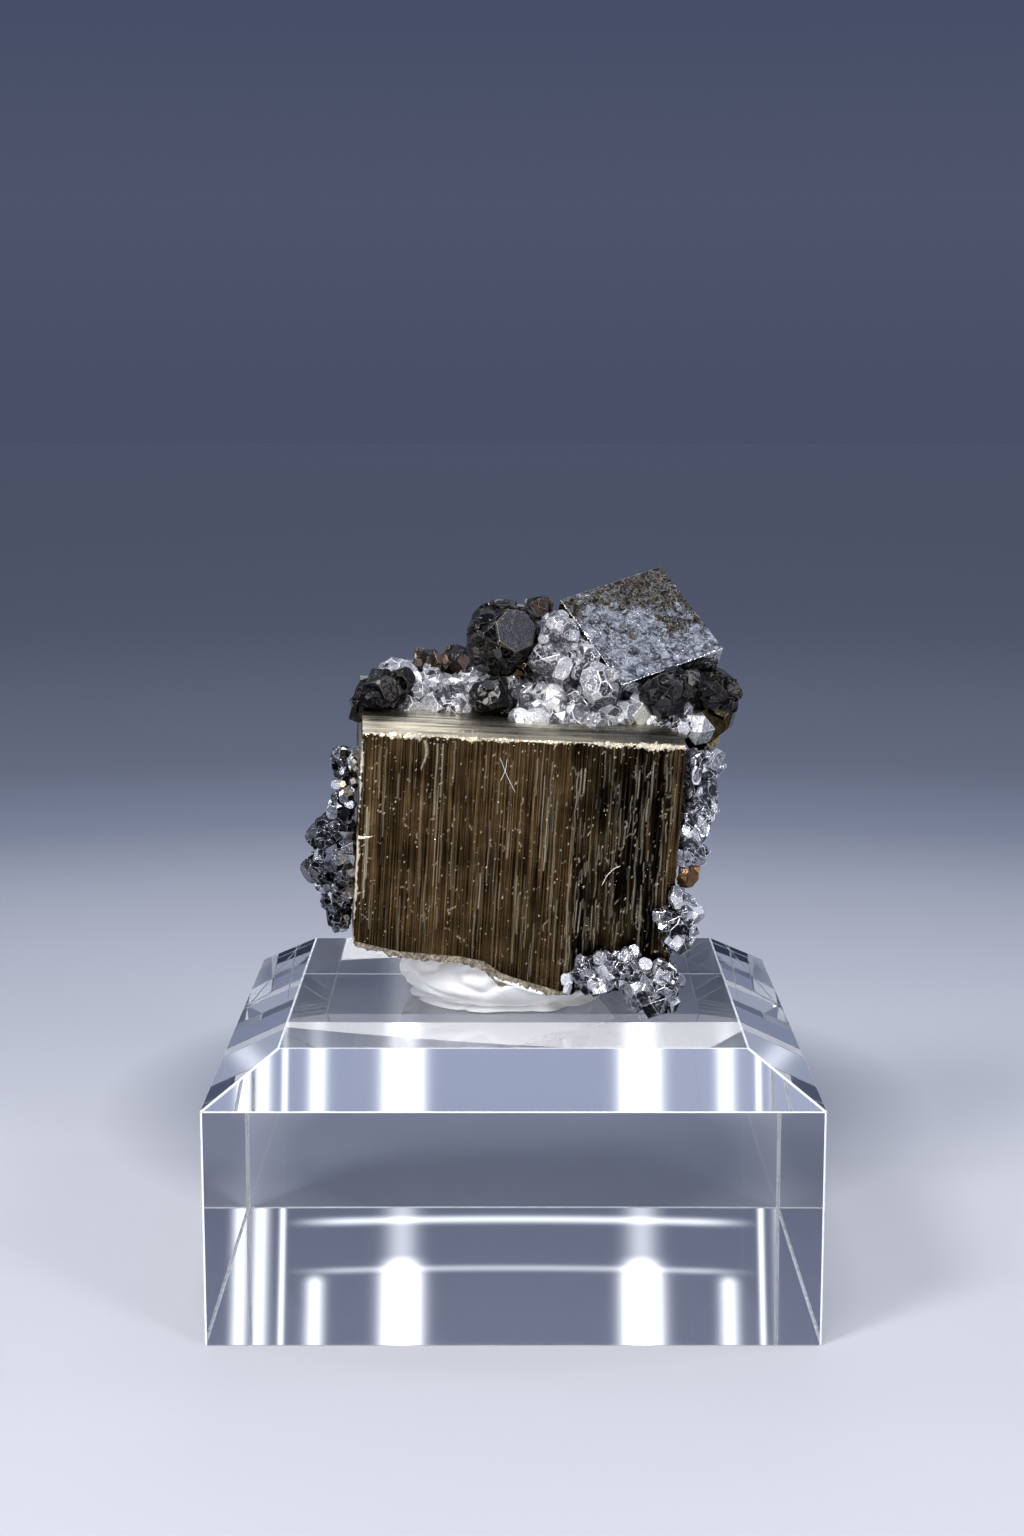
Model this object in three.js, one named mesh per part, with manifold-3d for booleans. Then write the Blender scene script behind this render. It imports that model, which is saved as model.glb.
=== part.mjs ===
// Pyrite and galena specimen fixed with putty on a clear bevelled block.
// Millimetres, +Z up, -Y towards the viewer. The origin is the middle of the block's underside.

import * as THREE from 'three';
import { ConvexGeometry } from 'three/addons/geometries/ConvexGeometry.js';
import { mergeVertices } from 'three/addons/utils/BufferGeometryUtils.js';
import Module from 'manifold-3d';

// Clear block
const BLOCK_SIDE = 32;
const BLOCK_WALL_HEIGHT = 12.6;
const BLOCK_BEVEL_RUN = 3.65;
const BLOCK_BEVEL_RISE = 2.3;
const BLOCK_TOP = BLOCK_WALL_HEIGHT + BLOCK_BEVEL_RISE;

// Putty lump, resting on the block
const PUTTY_CENTRE = [-0.3, -0.8];
const PUTTY_HALF_WIDTH = 6.3;
const PUTTY_HALF_DEPTH = 5.6;
const PUTTY_HEIGHT = 4.4;
const PUTTY_FOOT = 0.9;
const PUTTY_ROUNDNESS = 2.4;

// The specimen's own frame: the middle of the large cube's front top edge.
// x runs along that edge, y into the cube and z up. The angles are in degrees.
const SPECIMEN_ORIGIN = [0.68, -6.65, 30.34];
const SPECIMEN_PITCH = 3.4;
const SPECIMEN_ROLL = 3.3;
const SPECIMEN_YAW = 4.3;

// Large cube
const CUBE_WIDTH = 17.5;
const CUBE_DEPTH = 14.5;
const CUBE_LIP_RUN = 1.6;
const CUBE_LIP_RISE = 0.4;
const CUBE_LOWEST = -15;
const BROKEN_EDGE = [
  [-8.75, -11.7], [-6.2, -12.2], [-2.9, -12.35], [-1.5, -12.6], [-0.6, -13.2],
  [0.65, -13.6], [2.8, -14.15], [5.5, -14.0], [8.75, -13.2],
];

// Broken rock under the cube
const MATRIX_THICKNESS = 0.45;
const MATRIX_POINTS = 7;
const MATRIX_DEPTH = 11.5;

// Smaller cube
const UPPER_CUBE_SIDE = 6.8;
const UPPER_CUBE_CENTRE = [6.62, 9.09, 2.86];
const UPPER_CUBE_TURN = [34.6, -19.2, 35.5];

// Dark round crystal with one smooth facet
const BALL_CENTRE = [-0.99, 7.19, 4.28];
const BALL_RADIUS = 2.15;
const BALL_POINTS = 84;
const BALL_FACET_NORMAL = [0.32, -0.86, 0.4];
const BALL_FACET_HEIGHT = 0.86;

// Cut surfaces stand this far apart
const GAP = 0.3;

// Crystal habits: a polyhedron whose corners are all signed permutations of three numbers
const HABITS = {
  cornered_cube: [0.45, 1, 1],
  many_faced: [0.45, 1, 1.4],
};
// A crystal scaled by this many times the gap has every face at least one gap further out
const FACE_FACTOR = 1.45;

// Rows of crystals in the galena crust: y, first x, last x, count, z and radius
const CRUST_ROWS = [
  [4.5, -1.4, 4.9, 5, 0.75, 1.2],
  [5.0, 6.2, 8.5, 2, 0.8, 1.3],
  [6.5, -6.2, 8.5, 9, 0.8, 1.4],
  [8.6, -6.9, 8.2, 9, 0.8, 1.45],
  [10.8, -6.6, 7.7, 9, 0.65, 1.45],
  [12.9, -6.2, 7.4, 8, 0.35, 1.4],
];
const CRUST_JITTER = 0.25;

const COLOURS = {
  acrylic: [0xf4f8fc, 0.02, 0],
  putty: [0xf2f1ee, 0.75, 0],
  pyrite: [0x8c6f3c, 0.3, 1],
  coated_pyrite: [0x77767a, 0.4, 0.9],
  dark_crystal: [0x17171b, 0.22, 0.5],
  galena: [0x83868f, 0.28, 1],
  brown_crystal: [0x6a4228, 0.3, 0.3],
  matrix: [0xa39a8a, 0.8, 0.1],
  pale_crystal: [0xe6e8ec, 0.2, 0.1],
};

const wasm = await Module();
wasm.setup();

function seeded(seed) {
  let state = seed;
  return () => {
    state = (state + 0x6d2b79f5) | 0;
    let t = Math.imul(state ^ (state >>> 15), 1 | state);
    t = (t + Math.imul(t ^ (t >>> 7), 61 | t)) ^ t;
    return ((t ^ (t >>> 14)) >>> 0) / 4294967296;
  };
}

function material(name) {
  const [color, roughness, metalness] = COLOURS[name];
  return new THREE.MeshStandardMaterial({ name, color, roughness, metalness });
}

function turned(pitch, roll, yaw) {
  const radians = [pitch, roll, yaw].map(THREE.MathUtils.degToRad);
  return new THREE.Euler(...radians, 'ZXY');
}

function toSolid(geometry) {
  const plain = geometry.clone();
  plain.deleteAttribute('normal');
  plain.deleteAttribute('uv');
  const merged = mergeVertices(plain, 1e-4);
  return new wasm.Manifold(new wasm.Mesh({
    numProp: 3,
    vertProperties: new Float32Array(merged.attributes.position.array),
    triVerts: new Uint32Array(merged.index.array),
  }));
}

function toGeometry(solid) {
  const { vertProperties, triVerts } = solid.getMesh();
  const geometry = new THREE.BufferGeometry();
  geometry.setAttribute('position', new THREE.BufferAttribute(vertProperties, 3));
  geometry.setIndex(new THREE.BufferAttribute(triVerts, 1));
  return geometry;
}

// The largest connected part, so that a cut leaves no loose chips
function largestPart(geometry) {
  const { index, attributes } = geometry;
  const parent = Array.from({ length: attributes.position.count }, (_, i) => i);
  const root = (i) => {
    let at = i;
    while (parent[at] !== at) at = parent[at];
    parent[i] = at;
    return at;
  };
  for (let i = 0; i < index.count; i += 3) {
    const first = root(index.getX(i));
    parent[root(index.getX(i + 1))] = first;
    parent[root(index.getX(i + 2))] = first;
  }
  const parts = new Map();
  for (let i = 0; i < index.count; i += 3) {
    const key = root(index.getX(i));
    if (!parts.has(key)) parts.set(key, []);
    parts.get(key).push(index.getX(i), index.getX(i + 1), index.getX(i + 2));
  }
  const largest = [...parts.values()].reduce((a, b) => (a.length >= b.length ? a : b));
  const kept = new THREE.BufferGeometry();
  kept.setAttribute('position', attributes.position);
  kept.setIndex(largest);
  return mergeVertices(kept.toNonIndexed(), 1e-4);
}

function joined(solids) {
  return solids.reduce((a, b) => a.add(b));
}

// A geometry grown outwards by a gap, about the middle of its box
function grown(geometry, gap) {
  geometry.computeBoundingBox();
  const size = geometry.boundingBox.getSize(new THREE.Vector3());
  const centre = geometry.boundingBox.getCenter(new THREE.Vector3());
  const factors = new THREE.Vector3(1, 1, 1).addScaledVector(
    new THREE.Vector3(1 / size.x, 1 / size.y, 1 / size.z), 2 * gap);
  geometry.translate(-centre.x, -centre.y, -centre.z);
  geometry.scale(factors.x, factors.y, factors.z);
  return geometry.translate(centre.x, centre.y, centre.z);
}

function habitPoints(habit) {
  const [a, b, c] = HABITS[habit];
  const orders = [[a, b, c], [b, c, a], [c, a, b], [b, a, c], [a, c, b], [c, b, a]];
  const length = Math.hypot(a, b, c);
  const points = [];
  for (const [x, y, z] of orders) {
    for (const sx of [1, -1]) {
      for (const sy of [1, -1]) {
        for (const sz of [1, -1]) {
          points.push(new THREE.Vector3(sx * x, sy * y, sz * z).divideScalar(length));
        }
      }
    }
  }
  return points;
}

// One crystal. at is its centre, radius the distance to its corners, stretch its three proportions.
function crystal({ at, radius, habit = 'cornered_cube', stretch = [1, 1, 1], turn }, gap) {
  const size = new THREE.Vector3(...stretch).multiplyScalar(radius);
  size.addScalar(gap * FACE_FACTOR);
  const points = habitPoints(habit).map((point) => point.multiply(size).applyEuler(turn));
  const geometry = new ConvexGeometry(points);
  geometry.translate(...at);
  return toSolid(geometry);
}

// Crystals that grew into each other, each with its own seeded turn
function cluster(seed, crystals) {
  const random = seeded(seed);
  const turns = crystals.map(() => turned(360 * random(), 360 * random(), 360 * random()));
  return (gap) => joined(crystals.map((one, i) => crystal({ turn: turns[i], ...one }, gap)));
}

// A knob: small crystals packed round a core
function knob(seed, at, radius, count) {
  const random = seeded(seed);
  const crystals = [{ at, radius: 0.85 * radius, habit: 'many_faced' }];
  for (let i = 0; i < count; i += 1) {
    const polar = Math.acos(1 - (2 * (i + 0.5)) / count);
    const around = i * Math.PI * (3 - Math.sqrt(5)) + random();
    const reach = 0.52 * radius;
    crystals.push({
      at: [
        at[0] + reach * Math.sin(polar) * Math.cos(around),
        at[1] + reach * Math.sin(polar) * Math.sin(around),
        at[2] + reach * Math.cos(polar),
      ],
      radius: radius * (0.46 + 0.06 * random()),
    });
  }
  return cluster(seed, crystals);
}

function blockSolid() {
  const half = BLOCK_SIDE / 2;
  const topHalf = half - BLOCK_BEVEL_RUN;
  const points = [];
  for (const sx of [1, -1]) {
    for (const sy of [1, -1]) {
      points.push(new THREE.Vector3(sx * half, sy * half, 0));
      points.push(new THREE.Vector3(sx * half, sy * half, BLOCK_WALL_HEIGHT));
      points.push(new THREE.Vector3(sx * topHalf, sy * topHalf, BLOCK_TOP));
    }
  }
  return toSolid(new ConvexGeometry(points));
}

// A side outline in y and z, swept along x
function sweptAlongX(outline, width) {
  const shape = new THREE.Shape(outline.map(([y, z]) => new THREE.Vector2(y, z)));
  const geometry = new THREE.ExtrudeGeometry(shape, { depth: width, bevelEnabled: false });
  geometry.translate(0, 0, -width / 2);
  geometry.rotateY(Math.PI / 2);
  geometry.rotateX(Math.PI / 2);
  return geometry;
}

// A front outline in x and z, swept along y from the front to a depth
function sweptAlongY(outline, front, depth) {
  const shape = new THREE.Shape(outline.map(([x, z]) => new THREE.Vector2(x, z)));
  const geometry = new THREE.ExtrudeGeometry(shape, { depth, bevelEnabled: false });
  geometry.rotateX(Math.PI / 2);
  return geometry.translate(0, front + depth, 0);
}

// The large cube: a sloping lip behind the front top edge, and a broken lower edge
function mainCube(gap) {
  const side = [
    [0, 0], [CUBE_LIP_RUN, CUBE_LIP_RISE], [CUBE_DEPTH, CUBE_LIP_RISE],
    [CUBE_DEPTH, CUBE_LOWEST], [0, CUBE_LOWEST],
  ];
  const half = CUBE_WIDTH / 2;
  const front = [[-half, 1], ...BROKEN_EDGE, [half, 1]];
  const body = toSolid(sweptAlongX(side, CUBE_WIDTH))
    .intersect(toSolid(sweptAlongY(front, -1, CUBE_DEPTH + 2)));
  return toSolid(grown(toGeometry(body), gap));
}

// The broken rock follows the left part of the cube's lower edge
function matrixCrust(gap) {
  const edge = BROKEN_EDGE.slice(0, MATRIX_POINTS);
  const spread = 1 + (2 * gap) / CUBE_WIDTH;
  const upper = edge.map(([x, z]) => [x * spread, z - GAP + gap]);
  const lower = edge.map(([x, z], i) => {
    const thickness = MATRIX_THICKNESS * (0.75 + 0.08 * i + 0.25 * (i % 2));
    return [x * spread, z - GAP - thickness - gap];
  });
  return toSolid(sweptAlongY([...upper, ...lower.reverse()], 0.1 - gap, MATRIX_DEPTH + 2 * gap));
}

function upperCube(gap) {
  const side = UPPER_CUBE_SIDE + 2 * gap;
  const geometry = new THREE.BoxGeometry(side, side, side);
  const [pitch, roll, yaw] = UPPER_CUBE_TURN;
  geometry.applyMatrix4(new THREE.Matrix4().makeRotationFromEuler(turned(pitch, roll, yaw)));
  return toSolid(geometry.translate(...UPPER_CUBE_CENTRE));
}

// A ball of many small faces, flattened on one side to a smooth facet
function darkBall(gap) {
  const normal = new THREE.Vector3(...BALL_FACET_NORMAL).normalize();
  const points = [];
  for (let i = 0; i < BALL_POINTS; i += 1) {
    const z = 1 - (2 * (i + 0.5)) / BALL_POINTS;
    const around = i * Math.PI * (3 - Math.sqrt(5));
    const ring = Math.sqrt(1 - z * z);
    const point = new THREE.Vector3(ring * Math.cos(around), ring * Math.sin(around), z);
    const over = Math.max(0, point.dot(normal) - BALL_FACET_HEIGHT);
    points.push(point.addScaledVector(normal, -over).multiplyScalar(BALL_RADIUS + gap));
  }
  return toSolid(new ConvexGeometry(points).translate(...BALL_CENTRE));
}

// The galena crust on the cube's top face, with the crystals that stand on it
function topCrust() {
  const random = seeded(11);
  const jitter = () => CRUST_JITTER * (2 * random() - 1);
  const crystals = [];
  for (const [y, first, last, count, z, radius] of CRUST_ROWS) {
    for (let i = 0; i < count; i += 1) {
      const x = first + ((last - first) * i) / (count - 1);
      crystals.push({ at: [x + jitter(), y + jitter(), z + jitter()], radius: radius + jitter() / 2 });
    }
  }
  const standing = [
    [1.93, 6.3, 5.0, 1.15], [1.3, 5.8, 3.6, 1.1], [2.8, 5.7, 4.0, 1.15], [2.4, 4.9, 3.0, 1.2],
    [3.4, 4.7, 3.4, 1.1], [4.2, 4.0, 2.5, 1.2], [1.3, 8.8, 2.4, 1.3], [1.2, 9.2, 4.0, 1.15],
  ];
  const corner = [
    [9.0, 2.9, 0.7, 1.15], [9.3, 1.7, 0.9, 1.0], [9.6, 1.3, 0.3, 1.0], [9.9, 3.2, 0.2, 1.2],
  ];
  for (const [x, y, z, radius] of [...standing, ...corner]) {
    crystals.push({ at: [x, y, z], radius });
  }
  return cluster(5, crystals);
}

const rows = (list, habit) => list.map(([x, y, z, radius]) => ({ at: [x, y, z], radius, habit }));

const LEFT_UPPER = [[-9.4, 3.3, -2.4, 0.95], [-9.3, 3.2, -3.7, 0.9], [-9.4, 3.1, -4.9, 0.9]];
const LEFT_MASS = [
  [-9.8, 3.1, -6.8, 1.35], [-9.95, 3.0, -8.0, 1.45], [-9.5, 2.9, -9.1, 1.3], [-9.3, 2.0, -7.6, 1.2],
  [-9.6, 4.8, -7.4, 1.5], [-9.5, 5.6, -8.9, 1.3], [-9.4, 2.9, -10.1, 1.05], [-9.2, 2.8, -11.0, 0.9],
];
const CORNER_DARK = [[-8.2, 4.4, 0.75, 1.15], [-7.2, 5.6, 1.3, 1.15], [-7.8, 5.2, 1.1, 1.0]];
const UNDER_CUBE = [
  [10.0, 5.0, 2.2, 1.15], [11.2, 5.0, 2.2, 1.15], [8.8, 4.3, 2.6, 1.1], [7.6, 3.5, 2.1, 1.0],
];
const RIGHT_SLAB = [
  { at: [9.75, 1.7, -1.4], radius: 1, stretch: [1.0, 1.7, 1.5] },
  { at: [9.95, 1.7, -2.9], radius: 1, stretch: [1.0, 1.9, 1.7] },
  { at: [9.7, 1.5, -4.3], radius: 1, stretch: [0.95, 1.6, 1.4] },
  { at: [9.4, 1.4, -5.7], radius: 1, stretch: [0.85, 1.3, 1.25] },
];
const LOWER_RIGHT = [
  [8.75, 0.5, -8.7, 0.95], [8.5, 0.3, -9.7, 1.05], [8.75, 0.4, -10.6, 1.05], [9.1, 2.0, -9.9, 1.2],
  [8.3, 0.3, -11.3, 0.85],
];
const BACK_PATCH = [
  [3.4, 14.6, -1.6, 1.6], [5.3, 14.7, -2.8, 1.7], [3.0, 14.7, -3.6, 1.5], [4.6, 14.6, -4.8, 1.5],
  [6.4, 14.4, -0.9, 1.5], [6.9, 14.5, -4.4, 1.3],
];
const BACK_LOWER = [
  [-5.6, 14.6, -8.6, 1.5], [-4.2, 14.6, -9.5, 1.6], [-6.3, 14.5, -10.2, 1.3], [-5.0, 14.5, -10.9, 1.2],
];
const WHITE_CRYSTALS = [[3.1, -0.1, -13.2, 0.45], [3.15, -0.1, -13.7, 0.45]];
const STRAIGHT = turned(4, -3, 6);
const SIDE_PYRITE = {
  at: [10.5, 7.7, 1.0],
  radius: 2.55,
  stretch: [0.85, 1, 1],
  habit: 'many_faced',
  turn: turned(8, 10, 14),
};

// Each piece is cut by those above it in this list
const PIECES = [
  ['main_pyrite_cube', 'pyrite', mainCube],
  ['matrix_crust', 'matrix', matrixCrust],
  ['upper_pyrite_cube', 'coated_pyrite', upperCube],
  ['dark_ball_crystal', 'dark_crystal', darkBall],
  ['side_pyrite_crystal', 'pyrite', cluster(3, [SIDE_PYRITE])],
  ['embedded_dark_crystal', 'dark_crystal', cluster(4, rows([[-1.55, 4.5, 1.35, 1.15]], 'many_faced'))],
  ['corner_dark_crystals', 'dark_crystal', cluster(6, rows(CORNER_DARK, 'many_faced'))],
  ['brown_crystal_left', 'brown_crystal', cluster(7, rows([[-5.0, 10.2, 2.0, 0.95]], 'many_faced'))],
  ['brown_crystal_right', 'brown_crystal', cluster(8, rows([[-3.3, 10.1, 2.3, 1.0]], 'many_faced'))],
  ['brown_crystal_back', 'brown_crystal', cluster(9, rows([[1.15, 9.4, 5.7, 0.85]], 'many_faced'))],
  ['under_cube_dark_crystals', 'dark_crystal', cluster(10, rows(UNDER_CUBE))],
  ['top_galena_crust', 'galena', topCrust()],
  ['left_upper_galena', 'galena', cluster(12, rows(LEFT_UPPER))],
  ['left_galena_mass', 'galena', cluster(13, rows(LEFT_MASS))],
  ['right_galena_slab', 'galena', cluster(14, RIGHT_SLAB.map((one) => ({ ...one, turn: STRAIGHT })))],
  ['right_brown_crystal', 'brown_crystal', cluster(15, rows([[9.4, 1.0, -7.4, 0.75]], 'many_faced'))],
  ['lower_right_galena', 'galena', cluster(16, rows(LOWER_RIGHT))],
  ['galena_ball_right', 'galena', knob(17, [7.75, -0.5, -13.25], 1.6, 12)],
  ['galena_ball_left', 'galena', knob(18, [4.6, -0.4, -12.75], 1.2, 11)],
  ['galena_ball_middle', 'galena', knob(19, [6.4, -0.4, -12.55], 1.15, 10)],
  ['white_crystals', 'pale_crystal', cluster(20, rows(WHITE_CRYSTALS))],
  ['back_galena_patch', 'galena', cluster(21, rows(BACK_PATCH))],
  ['back_lower_galena', 'galena', cluster(22, rows(BACK_LOWER))],
];

// A mesh whose own origin is the middle of its box
function centredMesh(name, materialName, geometry) {
  geometry.computeBoundingBox();
  const centre = geometry.boundingBox.getCenter(new THREE.Vector3());
  geometry.translate(-centre.x, -centre.y, -centre.z);
  geometry.computeVertexNormals();
  const mesh = new THREE.Mesh(geometry, material(materialName));
  mesh.name = name;
  mesh.position.copy(centre);
  return mesh;
}

const specimen = new THREE.Group();
specimen.position.set(...SPECIMEN_ORIGIN);
specimen.rotation.copy(turned(SPECIMEN_PITCH, SPECIMEN_ROLL, SPECIMEN_YAW));
specimen.updateMatrix();

let occupied = null;
for (const [name, materialName, solidAt] of PIECES) {
  const solid = solidAt(0);
  const cut = occupied ? solid.subtract(occupied) : solid;
  specimen.add(centredMesh(name, materialName, largestPart(toGeometry(cut))));
  const room = solidAt(GAP);
  occupied = occupied ? occupied.add(room) : room;
}

// The putty lump, with the specimen's underside pressed into it
function puttySolid() {
  const steps = 9;
  const profile = [new THREE.Vector2(0, 0), new THREE.Vector2(PUTTY_FOOT, 0)];
  for (let i = 1; i < steps; i += 1) {
    const height = i / steps;
    const bulge = (1 - height ** PUTTY_ROUNDNESS) ** (1 / PUTTY_ROUNDNESS);
    const foot = Math.min(1, PUTTY_FOOT + 0.35 * height);
    profile.push(new THREE.Vector2(bulge * foot, height));
  }
  profile.push(new THREE.Vector2(0, 1));
  const geometry = new THREE.LatheGeometry(profile, 28);
  geometry.rotateX(Math.PI / 2);
  geometry.scale(PUTTY_HALF_WIDTH, PUTTY_HALF_DEPTH, PUTTY_HEIGHT);
  geometry.translate(...PUTTY_CENTRE, BLOCK_TOP);
  const underside = toSolid(toGeometry(occupied).applyMatrix4(specimen.matrix));
  return toSolid(geometry).subtract(underside);
}

const block = new THREE.Mesh(toGeometry(blockSolid()), material('acrylic'));
block.name = 'acrylic_block';
const putty = centredMesh('mounting_putty', 'putty', largestPart(toGeometry(puttySolid())));

const object = new THREE.Group();
object.add(block, putty, specimen);

export default object;
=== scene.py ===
"""Pyrite and galena specimen on a clear block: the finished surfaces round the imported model."""

import itertools
import math

import bmesh
import bpy
import numpy as np
from mathutils import Matrix, Vector, noise

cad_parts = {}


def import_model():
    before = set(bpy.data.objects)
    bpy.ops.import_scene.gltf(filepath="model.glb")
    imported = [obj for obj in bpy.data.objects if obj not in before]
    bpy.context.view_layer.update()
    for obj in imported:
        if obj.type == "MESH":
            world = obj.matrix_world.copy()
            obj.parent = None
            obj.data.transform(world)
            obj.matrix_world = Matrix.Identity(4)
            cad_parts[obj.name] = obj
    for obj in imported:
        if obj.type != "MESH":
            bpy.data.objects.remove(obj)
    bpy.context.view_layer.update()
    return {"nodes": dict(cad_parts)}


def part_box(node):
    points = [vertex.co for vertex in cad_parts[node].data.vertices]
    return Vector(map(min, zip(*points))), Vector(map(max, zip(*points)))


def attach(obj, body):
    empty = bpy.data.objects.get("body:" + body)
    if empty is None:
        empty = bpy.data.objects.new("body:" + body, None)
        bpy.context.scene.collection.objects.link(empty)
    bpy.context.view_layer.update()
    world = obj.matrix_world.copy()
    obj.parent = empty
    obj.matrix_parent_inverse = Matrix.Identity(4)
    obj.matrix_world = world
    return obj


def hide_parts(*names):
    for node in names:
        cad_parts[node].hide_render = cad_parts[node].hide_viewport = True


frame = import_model()

MM = 0.001


def turn_matrix(pitch, roll, yaw):
    """A turn by angles in degrees: first about y, then x, then z."""
    return (
        Matrix.Rotation(math.radians(yaw), 4, "Z")
        @ Matrix.Rotation(math.radians(pitch), 4, "X")
        @ Matrix.Rotation(math.radians(roll), 4, "Y")
    )


# The specimen's own frame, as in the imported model: the middle of the large cube's front top edge
SPECIMEN = Matrix.Translation(Vector((0.68, -6.65, 30.34)) * MM) @ turn_matrix(3.4, 3.3, 4.3)

BLOCK_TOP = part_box("acrylic_block")[1].z / MM
ACRYLIC_IOR = 1.49

# Large cube, in its own frame, in millimetres
CUBE_HALF_WIDTH = 8.75
CUBE_DEPTH = 14.5
LIP_RUN = 1.6
LIP_RISE = 0.4
FRONT_SHEET = 14.2
LIP_SHEET = 2.6
BROKEN_EDGE = [
    (-8.75, -11.7), (-6.2, -12.2), (-2.9, -12.35), (-1.5, -12.6), (-0.6, -13.2),
    (0.65, -13.6), (2.8, -14.15), (5.5, -14.0), (8.75, -13.2),
]
FACET_EDGE = ((-14, 0), (3.4, 2.5))

# Smaller cube
UPPER_SIDE = 6.8
UPPER_CENTRE = (6.62, 9.09, 2.86)
UPPER_TURN = np.array(turn_matrix(34.6, -19.2, 35.5).to_3x3())

# Dark round crystal
BALL_CENTRE = (-0.99, 7.19, 4.28)
BALL_RADIUS = 2.1
FACET_SIDES = 7
BALL_FACET_NORMAL = Vector((0.32, -0.86, 0.4)).normalized()


# Materials

class Nodes:
    """A material's or the world's node tree, with short ways to add and link nodes."""

    def __init__(self, owner, shader):
        owner.use_nodes = True
        self.owner, self.tree = owner, owner.node_tree
        self.shader = self.tree.nodes[shader]

    def add(self, kind, **values):
        node = self.tree.nodes.new("ShaderNode" + kind)
        for key, value in values.items():
            setattr(node, key, value)
        return node

    def put(self, value, socket):
        """Links an output to a socket, or gives the socket a number or a colour."""
        if isinstance(value, bpy.types.NodeSocket):
            self.tree.links.new(value, socket)
        else:
            socket.default_value = value

    def coordinates(self, scale=(1, 1, 1)):
        """Object coordinates in millimetres, scaled."""
        mapping = self.add("Mapping")
        mapping.inputs["Scale"].default_value = [s / MM for s in scale]
        self.put(self.add("TexCoord").outputs["Object"], mapping.inputs["Vector"])
        return mapping.outputs["Vector"]

    def noise(self, vector, scale, detail=3.0, roughness=0.5, distortion=0.0):
        node = self.add("TexNoise")
        for name, value in (
            ("Vector", vector), ("Scale", scale), ("Detail", detail), ("Roughness", roughness),
            ("Distortion", distortion),
        ):
            self.put(value, node.inputs[name])
        return node.outputs["Fac"]

    def ramp(self, factor, stops):
        node = self.add("ValToRGB")
        self.put(factor, node.inputs["Fac"])
        elements = node.color_ramp.elements
        while len(elements) < len(stops):
            elements.new(0.5)
        for element, (position, colour) in zip(elements, stops):
            element.position = position
            element.color = (*colour, 1)
        return node.outputs["Color"]

    def grey_ramp(self, factor, stops):
        return self.ramp(factor, [(p, (v, v, v)) for p, v in stops])

    def rough(self, grain, low, high):
        """Roughness between two values, from a grain."""
        return self.grey_ramp(grain, [(0.3, low), (0.7, high)])

    def mix(self, factor, a, b, blend="MIX"):
        """Two colours mixed, each an output or three numbers."""
        node = self.add("Mix", data_type="RGBA", blend_type=blend)
        self.put(factor, node.inputs[0])
        for value, socket in ((a, 6), (b, 7)):
            linked = isinstance(value, bpy.types.NodeSocket)
            self.put(value if linked else (*value, 1), node.inputs[socket])
        return node.outputs[2]

    def math(self, operation, a, b=0.0):
        node = self.add("Math", operation=operation)
        self.put(a, node.inputs[0])
        self.put(b, node.inputs[1])
        return node.outputs[0]

    def times(self, a, b):
        return self.math("MULTIPLY", a, b)

    def plus(self, a, b):
        return self.math("ADD", a, b)

    def vector(self, operation, a, b=(0, 0, 0), output="Vector"):
        node = self.add("VectorMath", operation=operation)
        self.put(a, node.inputs[0])
        self.put(b, node.inputs[1])
        return node.outputs[output]

    def axes(self, vector):
        node = self.add("SeparateXYZ")
        self.put(vector, node.inputs[0])
        return node.outputs

    def attribute(self, name):
        return self.add("Attribute", attribute_name=name).outputs["Fac"]

    def bump(self, height, strength, distance, under=None):
        """Bump of a height, distance in millimetres."""
        node = self.add("Bump")
        node.inputs["Strength"].default_value = strength
        node.inputs["Distance"].default_value = distance * MM
        self.put(height, node.inputs["Height"])
        if under is not None:
            self.put(under, node.inputs["Normal"])
        return node.outputs["Normal"]

    def set(self, **values):
        """Sets or links the shader's sockets, named with underscores."""
        for key, value in values.items():
            self.put(value, self.shader.inputs[key.replace("_", " ")])
        return self.owner


def surface(name):
    return Nodes(bpy.data.materials.new(name), "Principled BSDF")


def worms(n, vector, scale, width, shift=0.0):
    """Thin winding lines, where a noise crosses its middle value, broken up by another noise."""
    place = n.vector("ADD", vector, (shift, shift, shift))
    line = n.noise(place, scale, 1.5, 0.5, 0.6)
    line = n.grey_ramp(line, [(0.5 - width, 0), (0.5, 1), (0.5 + width, 0)])
    broken = n.grey_ramp(n.noise(place, scale * 0.8, 2.0), [(0.45, 0), (0.55, 1)])
    return n.times(line, broken)


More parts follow.
